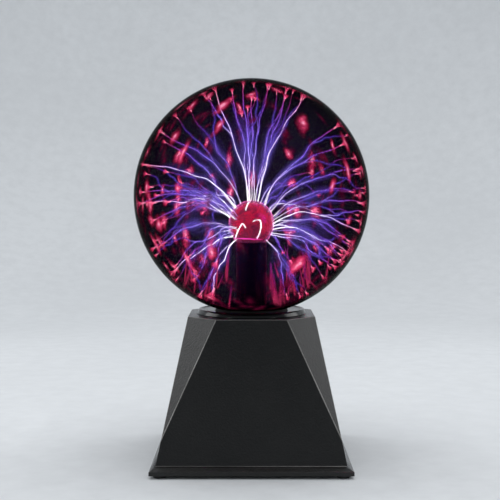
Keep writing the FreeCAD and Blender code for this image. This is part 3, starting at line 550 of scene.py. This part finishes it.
def arc_path(rng, start, leave, end, wander, count=32):
    """An arc that leaves along leave and meets the glass nearly squarely, straying by about wander."""
    chord = end - start
    reach = chord.length
    out = (end - GLOBE_MID).normalized()
    last = (chord.normalized() * 0.4 + out * 0.6 - UP * 0.3 * (1 - abs(out.z))).normalized()
    points = (start, start + leave * reach * 0.42, end - last * reach * 0.36, end)
    side = chord.orthogonal().normalized()
    across = chord.cross(side).normalized()
    waves = [(rng.uniform(0.5, 1.0) / rate, rate, rng.uniform(0, 2 * pi), rng.uniform(0, 2 * pi))
             for rate in (1, 2, 3, 5)]
    path = []
    for i in range(count):
        t = i / (count - 1)
        gate = sin(pi * t) ** 0.8 if 0 < t < 1 else 0
        stray = Vector((0, 0, 0))
        for size, rate, phase, turn in waves:
            push = size * sin(rate * pi * t * 2 + phase)
            stray += (side * cos(turn) + across * sin(turn)) * push
        path.append(inside_globe(bezier(points, t) + stray * wander * gate, CHANNEL_GAP))
    return path


def globe_reach(gap):
    """From the globe's middle to a surface gap inside its glass."""
    return GLOBE_RADIUS - bpy.context.scene.plasma_glass.wall - gap


def inside_globe(place, gap):
    """The place, drawn in where it is less than gap from the globe's inner surface."""
    out = place - GLOBE_MID
    most = globe_reach(gap)
    return GLOBE_MID + out.normalized() * most if out.length > most else place


def globe_point(direction, gap=CHANNEL_GAP):
    return GLOBE_MID + direction.normalized() * globe_reach(gap)


def crosses_stem(way):
    """True for a direction whose streamer would hang before or behind the stem."""
    return way.z < -0.15 and abs(way.x) < 0.3


class Discharge:
    """Streamers of one frozen moment: each has a path, a rank from bright to dim, the way to its end seen
    from the globe's middle, and whether it is whole or a fork."""

    def __init__(self):
        gas = bpy.context.scene.plasma_discharge
        self.rng = random.Random(gas.seed)
        self.wander = gas.wander
        self.streamers = []
        self.bulb_radius = CORE_RADIUS + bpy.context.scene.plasma_glass.bulb_wall
        for root, *ends in FRONT_SHEAVES:
            self.sheaf(aim(*root), [aim(*end) for end in ends])
        fixed = [aim(*end) for _, *ends in FRONT_SHEAVES for end in ends]
        for way in scatter(self.rng, gas.sheaves, 17, lambda d: self.free(d, fixed)):
            root = (way + UP * 0.3).normalized()
            twist = self.rng.uniform(10, 22)
            ends = [way]
            for _ in range(self.rng.choice((0, 1, 1, 2))):
                ends.append(self.near(way, twist))
            self.sheaf(root, ends)

    def free(self, way, fixed):
        """True for a direction clear of the stem, of the line to the viewer and of the placed sheaves."""
        if way.z < -0.8 or way.y < -0.72 or way.y > 0.95 or crosses_stem(way):
            return False
        if way.z > 0.25 and self.rng.random() < UPPER_LEFT_OUT:
            return False
        return all(way.angle(other) > radians(13) for other in fixed)

    def near(self, way, most):
        """A direction up to this many degrees from way."""
        side = way.orthogonal().normalized()
        turn = Matrix.Rotation(self.rng.uniform(0, 2 * pi), 3, way)
        tilt = Matrix.Rotation(radians(most * self.rng.uniform(0.5, 1.0)), 3, turn @ side)
        return (tilt @ way).normalized()

    def sheaf(self, root, ends):
        """Streamers that leave one spot of the bulb together and part on their way."""
        root = Vector((root.x, root.y, max(root.z, -0.75))).normalized()
        for follower, way in enumerate(ends):
            spot = (root + Vector([self.rng.uniform(-0.09, 0.09) for _ in range(3)])).normalized()
            start = CORE_MID + spot * (self.bulb_radius + 0.2 * MM)
            end = globe_point(way)
            chord = (end - start).normalized()
            lift = self.rng.uniform(0.5, 1.25) * (0.2 + 0.8 * min(1, way.z + 1))
            leave = (spot * 0.8 + chord * 0.25 + UP * lift).normalized()
            path = arc_path(self.rng, start, leave, end, self.wander)
            rank = self.rng.choice((1, 1, 2, 2)) if follower else self.rng.choice((0, 1, 1))
            self.streamers.append({"path": path, "rank": rank, "way": way, "whole": True})
            if self.rng.random() < FORK_CHANCE:
                self.fork(path, way, min(rank + 1, 2))

    def fork(self, path, way, rank):
        """A thinner streamer that parts from another partway out."""
        at = self.rng.randint(11, 20)
        ahead = (path[at + 1] - path[at - 1]).normalized()
        aside = self.near(way, 16)
        end = globe_point(way if crosses_stem(aside) else aside)
        steps = arc_path(self.rng, path[at], ahead, end, self.wander * 0.8, 22)
        way = (end - GLOBE_MID).normalized()
        self.streamers.append({"path": steps, "rank": rank, "way": way, "whole": False})


def channels(paths, name, radius_at, finishes):
    """Keeps round channels along paths, each in the finish of its rank, as one piece."""
    drawn = bpy.data.curves.new(name, "CURVE")
    drawn.bevel_depth = 1.0
    drawn.bevel_resolution = 1
    drawn.use_fill_caps = True
    keep_drawn(drawn, name, paths, radius_at, finishes, [0])


def ribbons(paths, name, width_at, finishes, tilts):
    """Keeps flat ribbons along paths, one for each tilt in degrees, as one piece."""
    drawn = bpy.data.curves.new(name, "CURVE")
    drawn.extrude = 1.0
    keep_drawn(drawn, name, paths, width_at, finishes, tilts, smooth=0)


def keep_drawn(drawn, name, paths, size_at, finishes, tilts, smooth=40):
    """Lays a curve along the paths, sized by how far along each point is, and keeps it as a mesh."""
    drawn.dimensions = "3D"
    for made in finishes:
        drawn.materials.append(made)
    for streamer in paths:
        for tilt in tilts:
            run = drawn.splines.new("POLY")
            path = streamer["path"]
            run.points.add(len(path) - 1)
            run.material_index = streamer["rank"]
            for i, place in enumerate(path):
                run.points[i].co = (*place, 1.0)
                run.points[i].radius = size_at(i / (len(path) - 1), streamer)
                run.points[i].tilt = radians(tilt + streamer.get("turn", 0))
    holder = bpy.data.objects.new(name + "_line", drawn)
    mesh = bpy.data.meshes.new_from_object(holder)
    bpy.data.objects.remove(holder)
    mesh.name = name
    keep_mesh(mesh, name, "lamp", [], smooth)


# ---- operators: one for each piece or group of like pieces


class PLASMA_OT_globe(bpy.types.Operator):
    """Blow the globe and its neck as one glass shell, darkened with painted shade"""
    bl_idname = "plasma.globe"
    bl_label = "Globe"
    bl_options = {"REGISTER", "UNDO"}

    def execute(self, context):
        wall = context.scene.plasma_glass.wall
        neck = span("globe_neck").x / 2
        foot = low_of("globe_neck")
        inner = GLOBE_RADIUS - wall
        mid = GLOBE_MID.z
        shape = bmesh.new()
        tip = shape.verts.new((0, 0, mid + GLOBE_RADIUS))
        tip = arc_round(shape, tip, 0, mid, 180 - degrees(asin(neck / GLOBE_RADIUS)), 72)
        tip = line_to(shape, tip, neck, foot)
        tip = line_to(shape, tip, neck - wall, foot)
        tip = line_to(shape, tip, neck - wall, mid - sqrt(inner ** 2 - (neck - wall) ** 2))
        arc_round(shape, tip, 0, mid, degrees(asin((neck - wall) / inner)) - 180, 72)
        turned(shape, 144)
        piece = keep(shape, "globe_shell", "lamp", [shade_darkened_glass()], smooth=50)
        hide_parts("globe", "globe_neck")
        return {"FINISHED"}


class PLASMA_OT_electrode(bpy.types.Operator):
    """Blow the electrode's bulb and stem tube, with its core, glow layer and black sleeve"""
    bl_idname = "plasma.electrode"
    bl_label = "Electrode"
    bl_options = {"REGISTER", "UNDO"}

    def execute(self, context):
        outer = CORE_RADIUS + context.scene.plasma_glass.bulb_wall
        sleeve = SLEEVE_RADIUS
        low, high = low_of("stem_sleeve"), high_of("stem_sleeve")
        bulb = flask(outer, outer - 1.2 * MM, sleeve - 0.6 * MM, sleeve - 2.2 * MM, high + 0.1 * MM)
        bulb = keep(bulb, "bulb_shell", "lamp", [clear_glass()], smooth=50)
        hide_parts("electrode_bulb")
        core = bmesh.new()
        bmesh.ops.create_icosphere(core, subdivisions=5, radius=CORE_RADIUS + 0.3 * MM)
        bmesh.ops.translate(core, verts=core.verts, vec=CORE_MID)
        heart = keep(core, "core_ball", "lamp", [glowing_core()])
        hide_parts("electrode_core")
        near, far = outer + 0.03 * MM, outer + 0.33 * MM
        glow = flask(far, near, sleeve + 0.2 * MM, sleeve - 0.1 * MM, high + 0.2 * MM)
        keep(glow, "bulb_glow", "lamp", [glow_shell()])
        bore, lip = sleeve - 2.6 * MM, 0.5 * MM
        tube = lathe([(bore, low), (sleeve, low), (sleeve, high - lip), (sleeve - lip, high),
                      (bore, high)], 96)
        tube = keep(tube, "sleeve_tube", "lamp", [shrunk_polyolefin()])
        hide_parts("stem_sleeve")
        return {"FINISHED"}


WHITE_HOT = [(0.0, "#FFFFFF"), (0.4, "#FFF2FF"), (0.75, "#E4C8FF"), (0.93, "#FFB0D4"), (1.0, "#FF5C86")]
LAVENDER = [(0.0, "#FFF6FF"), (0.22, "#E6D4FF"), (0.5, "#9C86FF"), (0.85, "#A050C8"), (1.0, "#FF3E70")]
VIOLET = [(0.0, "#C9A8FF"), (0.35, "#7A66E0"), (0.75, "#5A3FA8"), (1.0, "#D02C60")]
GLOW = [(0.0, "#A868FF"), (0.4, "#6446E0"), (0.75, "#6A34C0"), (1.0, "#E0286C")]
VEIL = [(0.0, "#9C84FF"), (0.45, "#7A62DC"), (0.8, "#6A3CB0"), (1.0, "#A03070")]
CURTAIN = [(0.0, "#7A2A90"), (0.5, "#C02468"), (1.0, "#FF4A7C")]
FOOT = [(0.0, "#B00C40"), (0.5, "#E82A62"), (0.85, "#FF5C8C"), (1.0, "#FFA0C0")]
HAZE = [(0.0, "#3A0638"), (0.5, "#6A0E40"), (1.0, "#A81C50")]
VEIL_CHANCE, SMEAR_CHANCE = 0.8, 0.6
CURTAINS, FREE_SMEARS, WALL_PATCHES, LOW_PATCHES = 52, 56, 170, 80


class PLASMA_OT_streamers(bpy.types.Operator):
    """Strike the streamers, their halos, veils and the glow where they meet the globe"""
    bl_idname = "plasma.streamers"
    bl_label = "Discharge"
    bl_options = {"REGISTER", "UNDO"}

    def execute(self, context):
        fire = Discharge().streamers
        self.streamers(fire, context.scene.plasma_discharge.thickness)
        self.halos(fire)
        self.veils(fire)
        self.fringe()
        self.feet(fire)
        self.haze()
        self.filling()
        return {"FINISHED"}

    def streamers(self, fire, thickness):
        """The hot channels themselves, thickest where they leave the bulb."""
        def radius(t, streamer):
            taper = 1.1 - 0.55 * t if streamer["whole"] else 0.75 - 0.2 * t
            return (1.0, 0.75, 0.5)[streamer["rank"]] * thickness * taper
        finishes = [streamer_gas("gas_channel_white", WHITE_HOT, 1.2),
                    streamer_gas("gas_channel_lavender", LAVENDER, 0.95),
                    streamer_gas("gas_channel_violet", VIOLET, 0.7)]
        channels(fire, "streamers", radius, finishes)

    def halos(self, fire):
        """Soft violet light round each channel."""
        def width(t, streamer):
            return (2.2, 2.0, 1.8)[streamer["rank"]] * MM * (0.35 + 0.8 * sin(pi * t))
        shares = (0.3, 0.26, 0.2)
        finishes = [ribbon_glow(f"gas_halo_{i}", GLOW, 0.8, share) for i, share in enumerate(shares)]
        ribbons(fire, "halos", width, finishes, [0, 60, 120])

    def veils(self, fire):
        """Wide streaked curtains of dim gas along most whole streamers."""
        rng = random.Random(21)
        chosen = []
        for streamer in fire:
            if rng.random() < VEIL_CHANCE and streamer["whole"]:
                chosen.append({"path": streamer["path"][3:-3], "rank": 0, "turn": rng.uniform(0, 180),
                               "size": rng.uniform(6, 13) * MM})

        def width(t, veil):
            return veil["size"] * (0.25 + 0.75 * sin(pi * min(1, t * 1.1)) ** 1.2)
        ribbons(chosen, "veils", width, [ribbon_glow("gas_veil", VEIL, 0.5, 0.42, streaks=7.0)], [0, 70])

    def fringe(self):
        """Pink curtains that stand on the bottom of the globe round the stem."""
        rng = random.Random(3)
        curtains = []
        for _ in range(CURTAINS):
            foot = globe_point(aim(rng.uniform(-180, 180), rng.uniform(-76, -46)))
            if abs(foot.x) < SLEEVE_RADIUS * 1.3:
                continue
            rise = rng.uniform(14, 42) * MM
            lean = Vector((foot.x * rng.uniform(-0.25, 0.1), foot.y * rng.uniform(-0.25, 0.1), rise))
            path = [foot + lean * (i / 9) for i in range(10)]
            curtains.append({"path": path[::-1], "rank": 0, "turn": rng.uniform(0, 90),
                             "size": rng.uniform(1.2, 3.4) * MM})
        ribbons(curtains, "curtains", lambda t, curtain: curtain["size"] * (0.4 + 0.6 * t),
                [ribbon_glow("gas_curtain", CURTAIN, 0.55, 0.8)], [0, 90])

    def feet(self, fire):
        """Where each streamer meets the glass: a pink trumpet and a soft red smear on the inside."""
        rng = random.Random(5)
        trumpets = empty_mesh()
        smears = empty_mesh()
        for streamer in fire:
            size = (1.0, 0.85, 0.7)[streamer["rank"]] * rng.uniform(0.8, 1.25)
            flare(trumpets, streamer["path"], size)
            if rng.random() < SMEAR_CHANCE:
                patch(smears, rng, streamer["way"], (10, 22), (6, 12), 25, size)
        for _ in range(FREE_SMEARS):
            way = aim(rng.uniform(-180, 180), rng.gauss(0, 34))
            if abs(way.z) < 0.95 and way.y > -0.8 and not crosses_stem(way):
                patch(smears, rng, way, (8, 20), (4, 9), 30)
        tip_glow = patch_glow("gas_end", FOOT, 1.1, 1.0, 0.05, 6.67 * MM)
        keep(trumpets, "streamer_ends", "lamp", [tip_glow])
        smear_glow = patch_glow("gas_smear", FOOT, 0.95, 0.9, 0.42, 9.09 * MM)
        keep(smears, "end_glow", "lamp", [smear_glow])

    def haze(self):
        """Dim wine-red glow drifting over the inside of the glass."""
        rng = random.Random(11)
        shape = empty_mesh()
        for _ in range(WALL_PATCHES):
            way = Vector((rng.gauss(0, 1), rng.gauss(0, 1), rng.gauss(0, 1))).normalized()
            if way.z >= -0.93:
                patch(shape, rng, way, (9, 20), (4, 9), 30)
        for _ in range(LOW_PATCHES):
            patch(shape, rng, aim(rng.uniform(-180, 180), rng.uniform(-74, -42)), (10, 18), (6, 12), 20)
        dim = patch_glow("gas_haze", HAZE, 0.4, 0.5, 0.4, 11.11 * MM)
        keep(shape, "wall_haze", "lamp", [dim])

    def filling(self):
        """The ball of thin gas that fills the globe."""
        shape = bmesh.new()
        bmesh.ops.create_icosphere(shape, subdivisions=5, radius=globe_reach(1 * MM))
        bmesh.ops.translate(shape, verts=shape.verts, vec=GLOBE_MID)
        keep(shape, "gas_filling", "lamp", [gas_mist()])


def grown(shape, make):
    """Runs make on the bmesh and gives the vertices that it added."""
    before = len(shape.verts)
    make()
    shape.verts.ensure_lookup_table()
    return shape.verts[before:]


def patch(shape, rng, way, long, wide, lean, size=1.0):
    """A small oval laid on the inside of the globe, its long side near upright. Its half-length and
    half-width are drawn from ranges in millimetres, and its lean is at most this many degrees."""
    half_long = rng.uniform(*long) * size * MM
    half_wide = rng.uniform(*wide) * size * MM
    normal = way.normalized()
    east = UP.cross(normal).normalized() if abs(normal.z) < 0.99 else Vector((1, 0, 0))
    spot = Matrix((east, normal.cross(east), normal)).transposed().to_4x4()
    sized = (spot @ Matrix.Rotation(radians(rng.uniform(-lean, lean)), 4, "Z")
             @ Matrix.Diagonal((half_wide, half_long, 1, 1)))
    sized.translation = globe_point(normal)
    new = grown(shape, lambda: bmesh.ops.create_grid(shape, x_segments=6, y_segments=8, size=1.0,
                                                     matrix=sized, calc_uvs=True))
    for vert in new:
        vert.co = globe_point(vert.co - GLOBE_MID, 0.25 * MM)


# rings of the trumpet at a streamer's end: radius, and height from the glass, in millimetres
TRUMPET = [(0.4, -7.0), (0.9, -3.6), (2.4, -1.2), (5.4, 0.0)]


def flare(shape, path, size):
    """A trumpet from the end of a path out to the glass."""
    end = path[-1]
    along = (end - path[-4]).normalized()
    axis = (along + (end - GLOBE_MID).normalized() * 1.5).normalized()
    turn = UP.rotation_difference(axis).to_matrix().to_4x4()
    layer = shape.loops.layers.uv.active
    widest = TRUMPET[-1][0] * MM

    def make():
        last, height = TRUMPET[0]
        verts = bmesh.ops.create_circle(shape, segments=10, radius=last * MM)["verts"]
        bmesh.ops.translate(shape, verts=verts, vec=(0, 0, height * MM))
        loop = list(dict.fromkeys(edge for vert in verts for edge in vert.link_edges))
        for radius, drop in TRUMPET[1:]:
            out = bmesh.ops.extrude_edge_only(shape, edges=loop)["geom"]
            verts = [g for g in out if isinstance(g, bmesh.types.BMVert)]
            loop = [g for g in out
                    if isinstance(g, bmesh.types.BMEdge) and all(v in verts for v in g.verts)]
            bmesh.ops.scale(shape, verts=verts, vec=(radius / last, radius / last, 1))
            bmesh.ops.translate(shape, verts=verts, vec=(0, 0, (drop - height) * MM))
            last, height = radius, drop
    new = grown(shape, make)
    for vert in new:
        share = min(1.0, vert.co.xy.length / widest)
        for loop in vert.link_loops:
            loop[layer].uv = (0.5 + share * 0.5, 0.5)
    bmesh.ops.transform(shape, matrix=Matrix.Translation(end) @ turn @ Matrix.Scale(size, 4), verts=new)
    for vert in new:
        vert.co = inside_globe(vert.co, 0.2 * MM)


# short streamers across the electrode's front and the bright seam at its foot: azimuth and height in
# degrees, and the distance off the bulb in millimetres
HOOKS = [
    [(-84, -46, 0.3), (-54, -35, 1), (-38, -21, 1.5), (-28, -9, 2), (-22, -1, 2.5), (-17, -3, 3),
     (-13, -10, 3)],
    [(18, -43, 0.3), (21, -27, 1), (23, -9, 1.5), (21, 5, 2), (15, 8, 2.5), (8, 7, 3), (3, 4, 3)],
    [(-16, 66, 0.2), (-17, 54, 0.5), (-17, 42, 0.8), (-17, 33, 1.0)],
]
SEAM = [(-84, -42, 1.1), (-50, -40, 1.1), (-20, -40, 1.1), (14, -42, 1.1), (40, -43, 1.1)]
HOOK_HOT = [(0.0, "#FFB0E8"), (0.25, "#FFFFFF"), (1.0, "#FFF4FF")]
SEAM_PINK = [(0.0, "#FF5CC8"), (0.6, "#F03CA8"), (1.0, "#A01050")]


class PLASMA_OT_hooks(bpy.types.Operator):
    """Strike the short bright streamers that cross the front of the electrode"""
    bl_idname = "plasma.hooks"
    bl_label = "Hooks"
    bl_options = {"REGISTER", "UNDO"}

    def execute(self, context):
        ball = CORE_RADIUS + context.scene.plasma_glass.bulb_wall

        def laid(line):
            points = [CORE_MID + aim(azimuth, height) * (ball + out * MM) for azimuth, height, out in line]
            return {"path": smoothed(points), "rank": 0}
        channels([laid(SEAM)], "bulb_seam", lambda t, line: 0.55 * MM,
                 [streamer_gas("gas_channel_seam", SEAM_PINK, 0.9)])
        channels([laid(hook) for hook in HOOKS], "hook_streamers", lambda t, line: 0.6 * MM * (1 - 0.3 * t),
                 [streamer_gas("gas_channel_hook", HOOK_HOT, 1.3)])
        return {"FINISHED"}


def smoothed(points, steps=6):
    """The points with a smooth line drawn through them."""
    out = []
    padded = [points[0] * 2 - points[1], *points, points[-1] * 2 - points[-2]]
    for i in range(1, len(padded) - 2):
        a, b, c, d = padded[i - 1:i + 3]
        for k in range(steps):
            t = k / steps
            out.append(0.5 * ((2 * b) + (c - a) * t + (2 * a - 5 * b + 4 * c - d) * t ** 2
                              + (3 * b - a - 3 * c + d) * t ** 3))
    return out + [points[-1]]


class PLASMA_OT_housing(bpy.types.Operator):
    """Mould the cover, plinth, collar, gasket and feet"""
    bl_idname = "plasma.housing"
    bl_label = "Housing"
    bl_options = {"REGISTER", "UNDO"}

    def execute(self, context):
        edge = context.scene.plasma_housing.edge
        shell = moulded_abs()
        long = 30 * MM
        # painted highlight: the cover's long broken edges get a light grey finish for the light they catch
        painted_highlight = edge_highlight_abs()
        recut("base_cover", "cover_shell", shell, edge, edge_finish=painted_highlight, shortest=long)
        recut("plinth", "plinth_tray", shell, 0.4 * MM, shortest=long)
        recut("collar_ring", "collar_turned", polished_abs(), 0.6 * MM)
        rubber = moulded_silicone()
        recut("globe_gasket", "gasket_turned", rubber, 0.0)
        for place in ("front_left", "front_right", "rear_left", "rear_right"):
            recut(f"foot_{place}", f"pad_{place}", rubber, 0.2 * MM)
        return {"FINISHED"}


class PLASMA_OT_rear(bpy.types.Operator):
    """Make the power inlet, the mode switch's thumb and the screw heads"""
    bl_idname = "plasma.rear"
    bl_label = "Rear fittings"
    bl_options = {"REGISTER", "UNDO"}

    def execute(self, context):
        satin = solid_finish("nylon_moulded_black", "#121213", "#0B0B0C", (0.28, 0.36), 1.11 * MM)
        recut("dc_jack", "inlet_body", satin, 0.15 * MM)
        recut("switch_slider", "switch_thumb", satin, 0.15 * MM, body="slider")
        steel = metal("steel_zinc_plated", "#C9CCD0", "#9EA2A8", 0.28)
        for screws in ("switch_screws", "plinth_screws"):
            recut(screws, screws.replace("screws", "screw_heads"), steel, 0.1 * MM)
        return {"FINISHED"}


class PLASMA_OT_inside(bpy.types.Operator):
    """Finish the frame's own pieces inside the base"""
    bl_idname = "plasma.inside"
    bl_label = "Inside parts"
    bl_options = {"REGISTER", "UNDO"}

    def execute(self, context):
        drawn = (1, 1, 0.1)
        wound = (1, 1, 0.2)
        lacquer = (0.3, 0.4)
        finishes = {
            "high_voltage_boot": solid_finish("silicone_boot", "#7A1F1A", "#5E1512", (0.5, 0.62)),
            "neck_grommet": solid_finish("silicone_grommet", "#1B1B1C", "#111112", (0.55, 0.7)),
            "neck_retainer switch_housing": solid_finish("nylon_moulded_grey", "#3A3B3D", "#2B2C2E"),
            "retainer_screws board_screws transistor_screw":
                metal("steel_zinc_plated_inside", "#C9CCD0", "#9EA2A8", 0.3),
            "switch_bracket ferrite_clip": metal("steel_stamped", "#B4B7BA", "#8D9094", 0.35),
            "dc_jack_pin dc_jack_tag switch_tags electrode_rod":
                metal("brass_tinned", "#D8CFB4", "#B7A983", 0.22),
            "dc_jack_nut": metal("brass_nickel_plated", "#D5D2C8", "#B0ADA4", 0.2),
            "driver_board": solid_finish("fr4_laminate", "#1E6B3A", "#15502B", (0.25, 0.4), 0.667 * MM),
            "ferrite_lower ferrite_upper":
                solid_finish("ferrite_sintered", "#37383C", "#232428", (0.6, 0.75)),
            "secondary_coil": solid_finish("epoxy_potting", "#16171C", "#0E0F13", (0.3, 0.45)),
            "primary_coil choke": metal("copper_enamelled", "#B5602C", "#7E3A18", 0.3, 0.4 * MM, wound),
            "heatsink": metal("aluminium_extruded", "#C4C8CC", "#9DA1A6", 0.3, 0.833 * MM, drawn),
            "power_transistor timer_chip":
                solid_finish("epoxy_transfer_moulded", "#1A1A1C", "#101012", (0.45, 0.6), 0.4 * MM),
            "supply_capacitor filter_capacitor":
                solid_finish("pvc_sleeve_blue", "#1D2E66", "#15224C", (0.2, 0.3)),
            "film_capacitor": solid_finish("polyester_film_dipped", "#B23A1E", "#8C2A14", (0.25, 0.35)),
            "sensitivity_trimmer": solid_finish("pbt_moulded_blue", "#2450A8", "#193C80"),
            "microphone": metal("aluminium_drawn", "#CDD0D3", "#A9ACB0", 0.25),
            "power_connector switch_connector": solid_finish("nylon_moulded_white", "#E9E4D6", "#D2CCBC"),
            "resistors": solid_finish("resistor_lacquered", "#D9C08E", "#B99A62", (0.3, 0.45)),
            "power_wires high_voltage_lead": solid_finish("pvc_wire_red", "#B01A1C", "#8A1013", lacquer),
            "switch_wires": solid_finish("pvc_wire_white", "#E4E2DC", "#C9C6BE", lacquer),
            "exhaust_tip": clear_glass(),
        }
        for nodes, finish in finishes.items():
            for node in nodes.split():
                for place in NODES[node].material_slots:
                    place.material = finish
        return {"FINISHED"}


class PLASMA_OT_stage(bpy.types.Operator):
    """Set the floor, the lights and the camera"""
    bl_idname = "plasma.stage"
    bl_label = "Stage"
    bl_options = {"REGISTER", "UNDO"}

    def execute(self, context):
        scene = context.scene
        look = scene.plasma_stage
        self.cove(look.floor)
        self.softboxes(look)
        self.camera(scene, look)
        room = bpy.data.worlds.new("dim_room")
        room.use_nodes = True
        room.node_tree.nodes["Background"].inputs["Color"].default_value = colour("#70757A")
        scene.world = room
        scene.view_settings.view_transform = "Standard"
        scene.cycles.transparent_max_bounces = 48
        scene.cycles.caustics_refractive = False
        return {"FINISHED"}

    def cove(self, tone):
        """A round floor and, behind the lamp, a paper backdrop that curves up from just under it."""
        paper = solid_finish("paper_seamless", tone, "#D2D5D8", (0.75, 0.85), 25 * MM, bump=0.02)
        floor = bmesh.new()
        bmesh.ops.create_circle(floor, cap_ends=True, segments=96, radius=2.2)
        away, sweep, height, half_turn = 1.0, 1.1, 1.9, 80
        drop = bmesh.new()
        tip = drop.verts.new((0, away, -2 * MM))
        tip = bmesh.ops.spin(drop, geom=[tip], cent=(0, away, sweep), axis=(1, 0, 0), angle=radians(90),
                             steps=32, dvec=(0, 0, 0), use_merge=False)["geom_last"][0]
        bmesh.ops.extrude_vert_indiv(drop, verts=[tip])["verts"][0].co.z = height
        bmesh.ops.rotate(drop, cent=(0, 0, 0), matrix=Matrix.Rotation(radians(-half_turn), 3, "Z"),
                         verts=drop.verts)
        bmesh.ops.spin(drop, geom=drop.verts[:] + drop.edges[:], cent=(0, 0, 0), axis=(0, 0, 1),
                       angle=radians(2 * half_turn), steps=40, dvec=(0, 0, 0), use_merge=False)
        for name, shape in (("studio_floor", floor), ("studio_backdrop", drop)):
            keep(shape, name, None, [paper])

    def softboxes(self, look):
        """Rectangular lights that face the lamp. Each has its place, power, width and height."""
        boxes = {
            "left_softbox": ((-1.15, 0.25, 0.86), look.side, 0.7, 0.9),
            "right_softbox": ((1.15, 0.25, 0.86), look.side, 0.7, 0.9),
            "left_edge_strip": ((-0.92, -0.86, 0.45), look.edge, 0.1, 0.6),
            "right_edge_strip": ((0.92, -0.86, 0.45), look.edge, 0.1, 0.6),
            "top_softbox": ((0, 0.1, 2.0), look.top, 1.6, 1.7),
            "front_top_strip": ((0, -0.55, 1.6), look.front, 1.2, 0.25),
            "overhead_light": ((0, 0.3, 2.4), look.overhead, 2.6, 2.6),
        }
        spared = bpy.data.collections.new("spared_from_boxes")
        spared.objects.link(bpy.data.objects["globe_shell"])
        # the globe shows no box's shape, as when flags are set between them
        spared.collection_objects[0].light_linking.link_state = "EXCLUDE"
        for name, (place, watts, width, height) in boxes.items():
            light = bpy.data.lights.new(name, "AREA")
            light.shape = "RECTANGLE"
            light.size = width
            light.size_y = height
            light.energy = watts
            box = bpy.data.objects.new(name, light)
            bpy.context.scene.collection.objects.link(box)
            box.location = place
            aimed = (Vector((0, 0, 0.12)) - Vector(place)).to_track_quat("-Z", "Y")
            box.rotation_euler = aimed.to_euler()
            box.visible_camera = False
            box.visible_glossy = name != "overhead_light"
            box.light_linking.receiver_collection = spared

    def camera(self, scene, look):
        lens = bpy.data.cameras.new("front_camera")
        lens.lens = look.lens
        lens.sensor_width = 36
        lens.shift_x = -0.003
        lens.shift_y = -0.096
        eye = bpy.data.objects.new("front_camera", lens)
        scene.collection.objects.link(eye)
        eye.location = (0, -look.distance, look.eye)
        eye.rotation_euler = (radians(90), 0, 0)
        scene.camera = eye


STEPS = (PLASMA_OT_globe, PLASMA_OT_electrode, PLASMA_OT_streamers, PLASMA_OT_hooks, PLASMA_OT_housing,
         PLASMA_OT_rear, PLASMA_OT_inside, PLASMA_OT_stage)


class PLASMA_PT_panel(bpy.types.Panel):
    """Lists the lamp's sizes and its operators"""
    bl_idname = "PLASMA_PT_panel"
    bl_label = "Plasma Ball"
    bl_space_type = "VIEW_3D"
    bl_region_type = "UI"
    bl_category = "Plasma Ball"

    def draw(self, context):
        for name, kind in GROUPS.items():
            box = self.layout.box()
            for field in kind.__annotations__:
                box.prop(getattr(context.scene, name), field)
        for step in STEPS:
            self.layout.operator(step.bl_idname)


CLASSES = (*GROUPS.values(), *STEPS, PLASMA_PT_panel)


def register():
    for kind in CLASSES:
        bpy.utils.register_class(kind)
    for name, kind in GROUPS.items():
        setattr(bpy.types.Scene, name, PointerProperty(type=kind))


def unregister():
    for name in GROUPS:
        delattr(bpy.types.Scene, name)
    for kind in reversed(CLASSES):
        bpy.utils.unregister_class(kind)


def main():
    register()
    for step in STEPS:
        group, name = step.bl_idname.split(".")
        getattr(getattr(bpy.ops, group), name)()


if __name__ == "__main__":
    main()
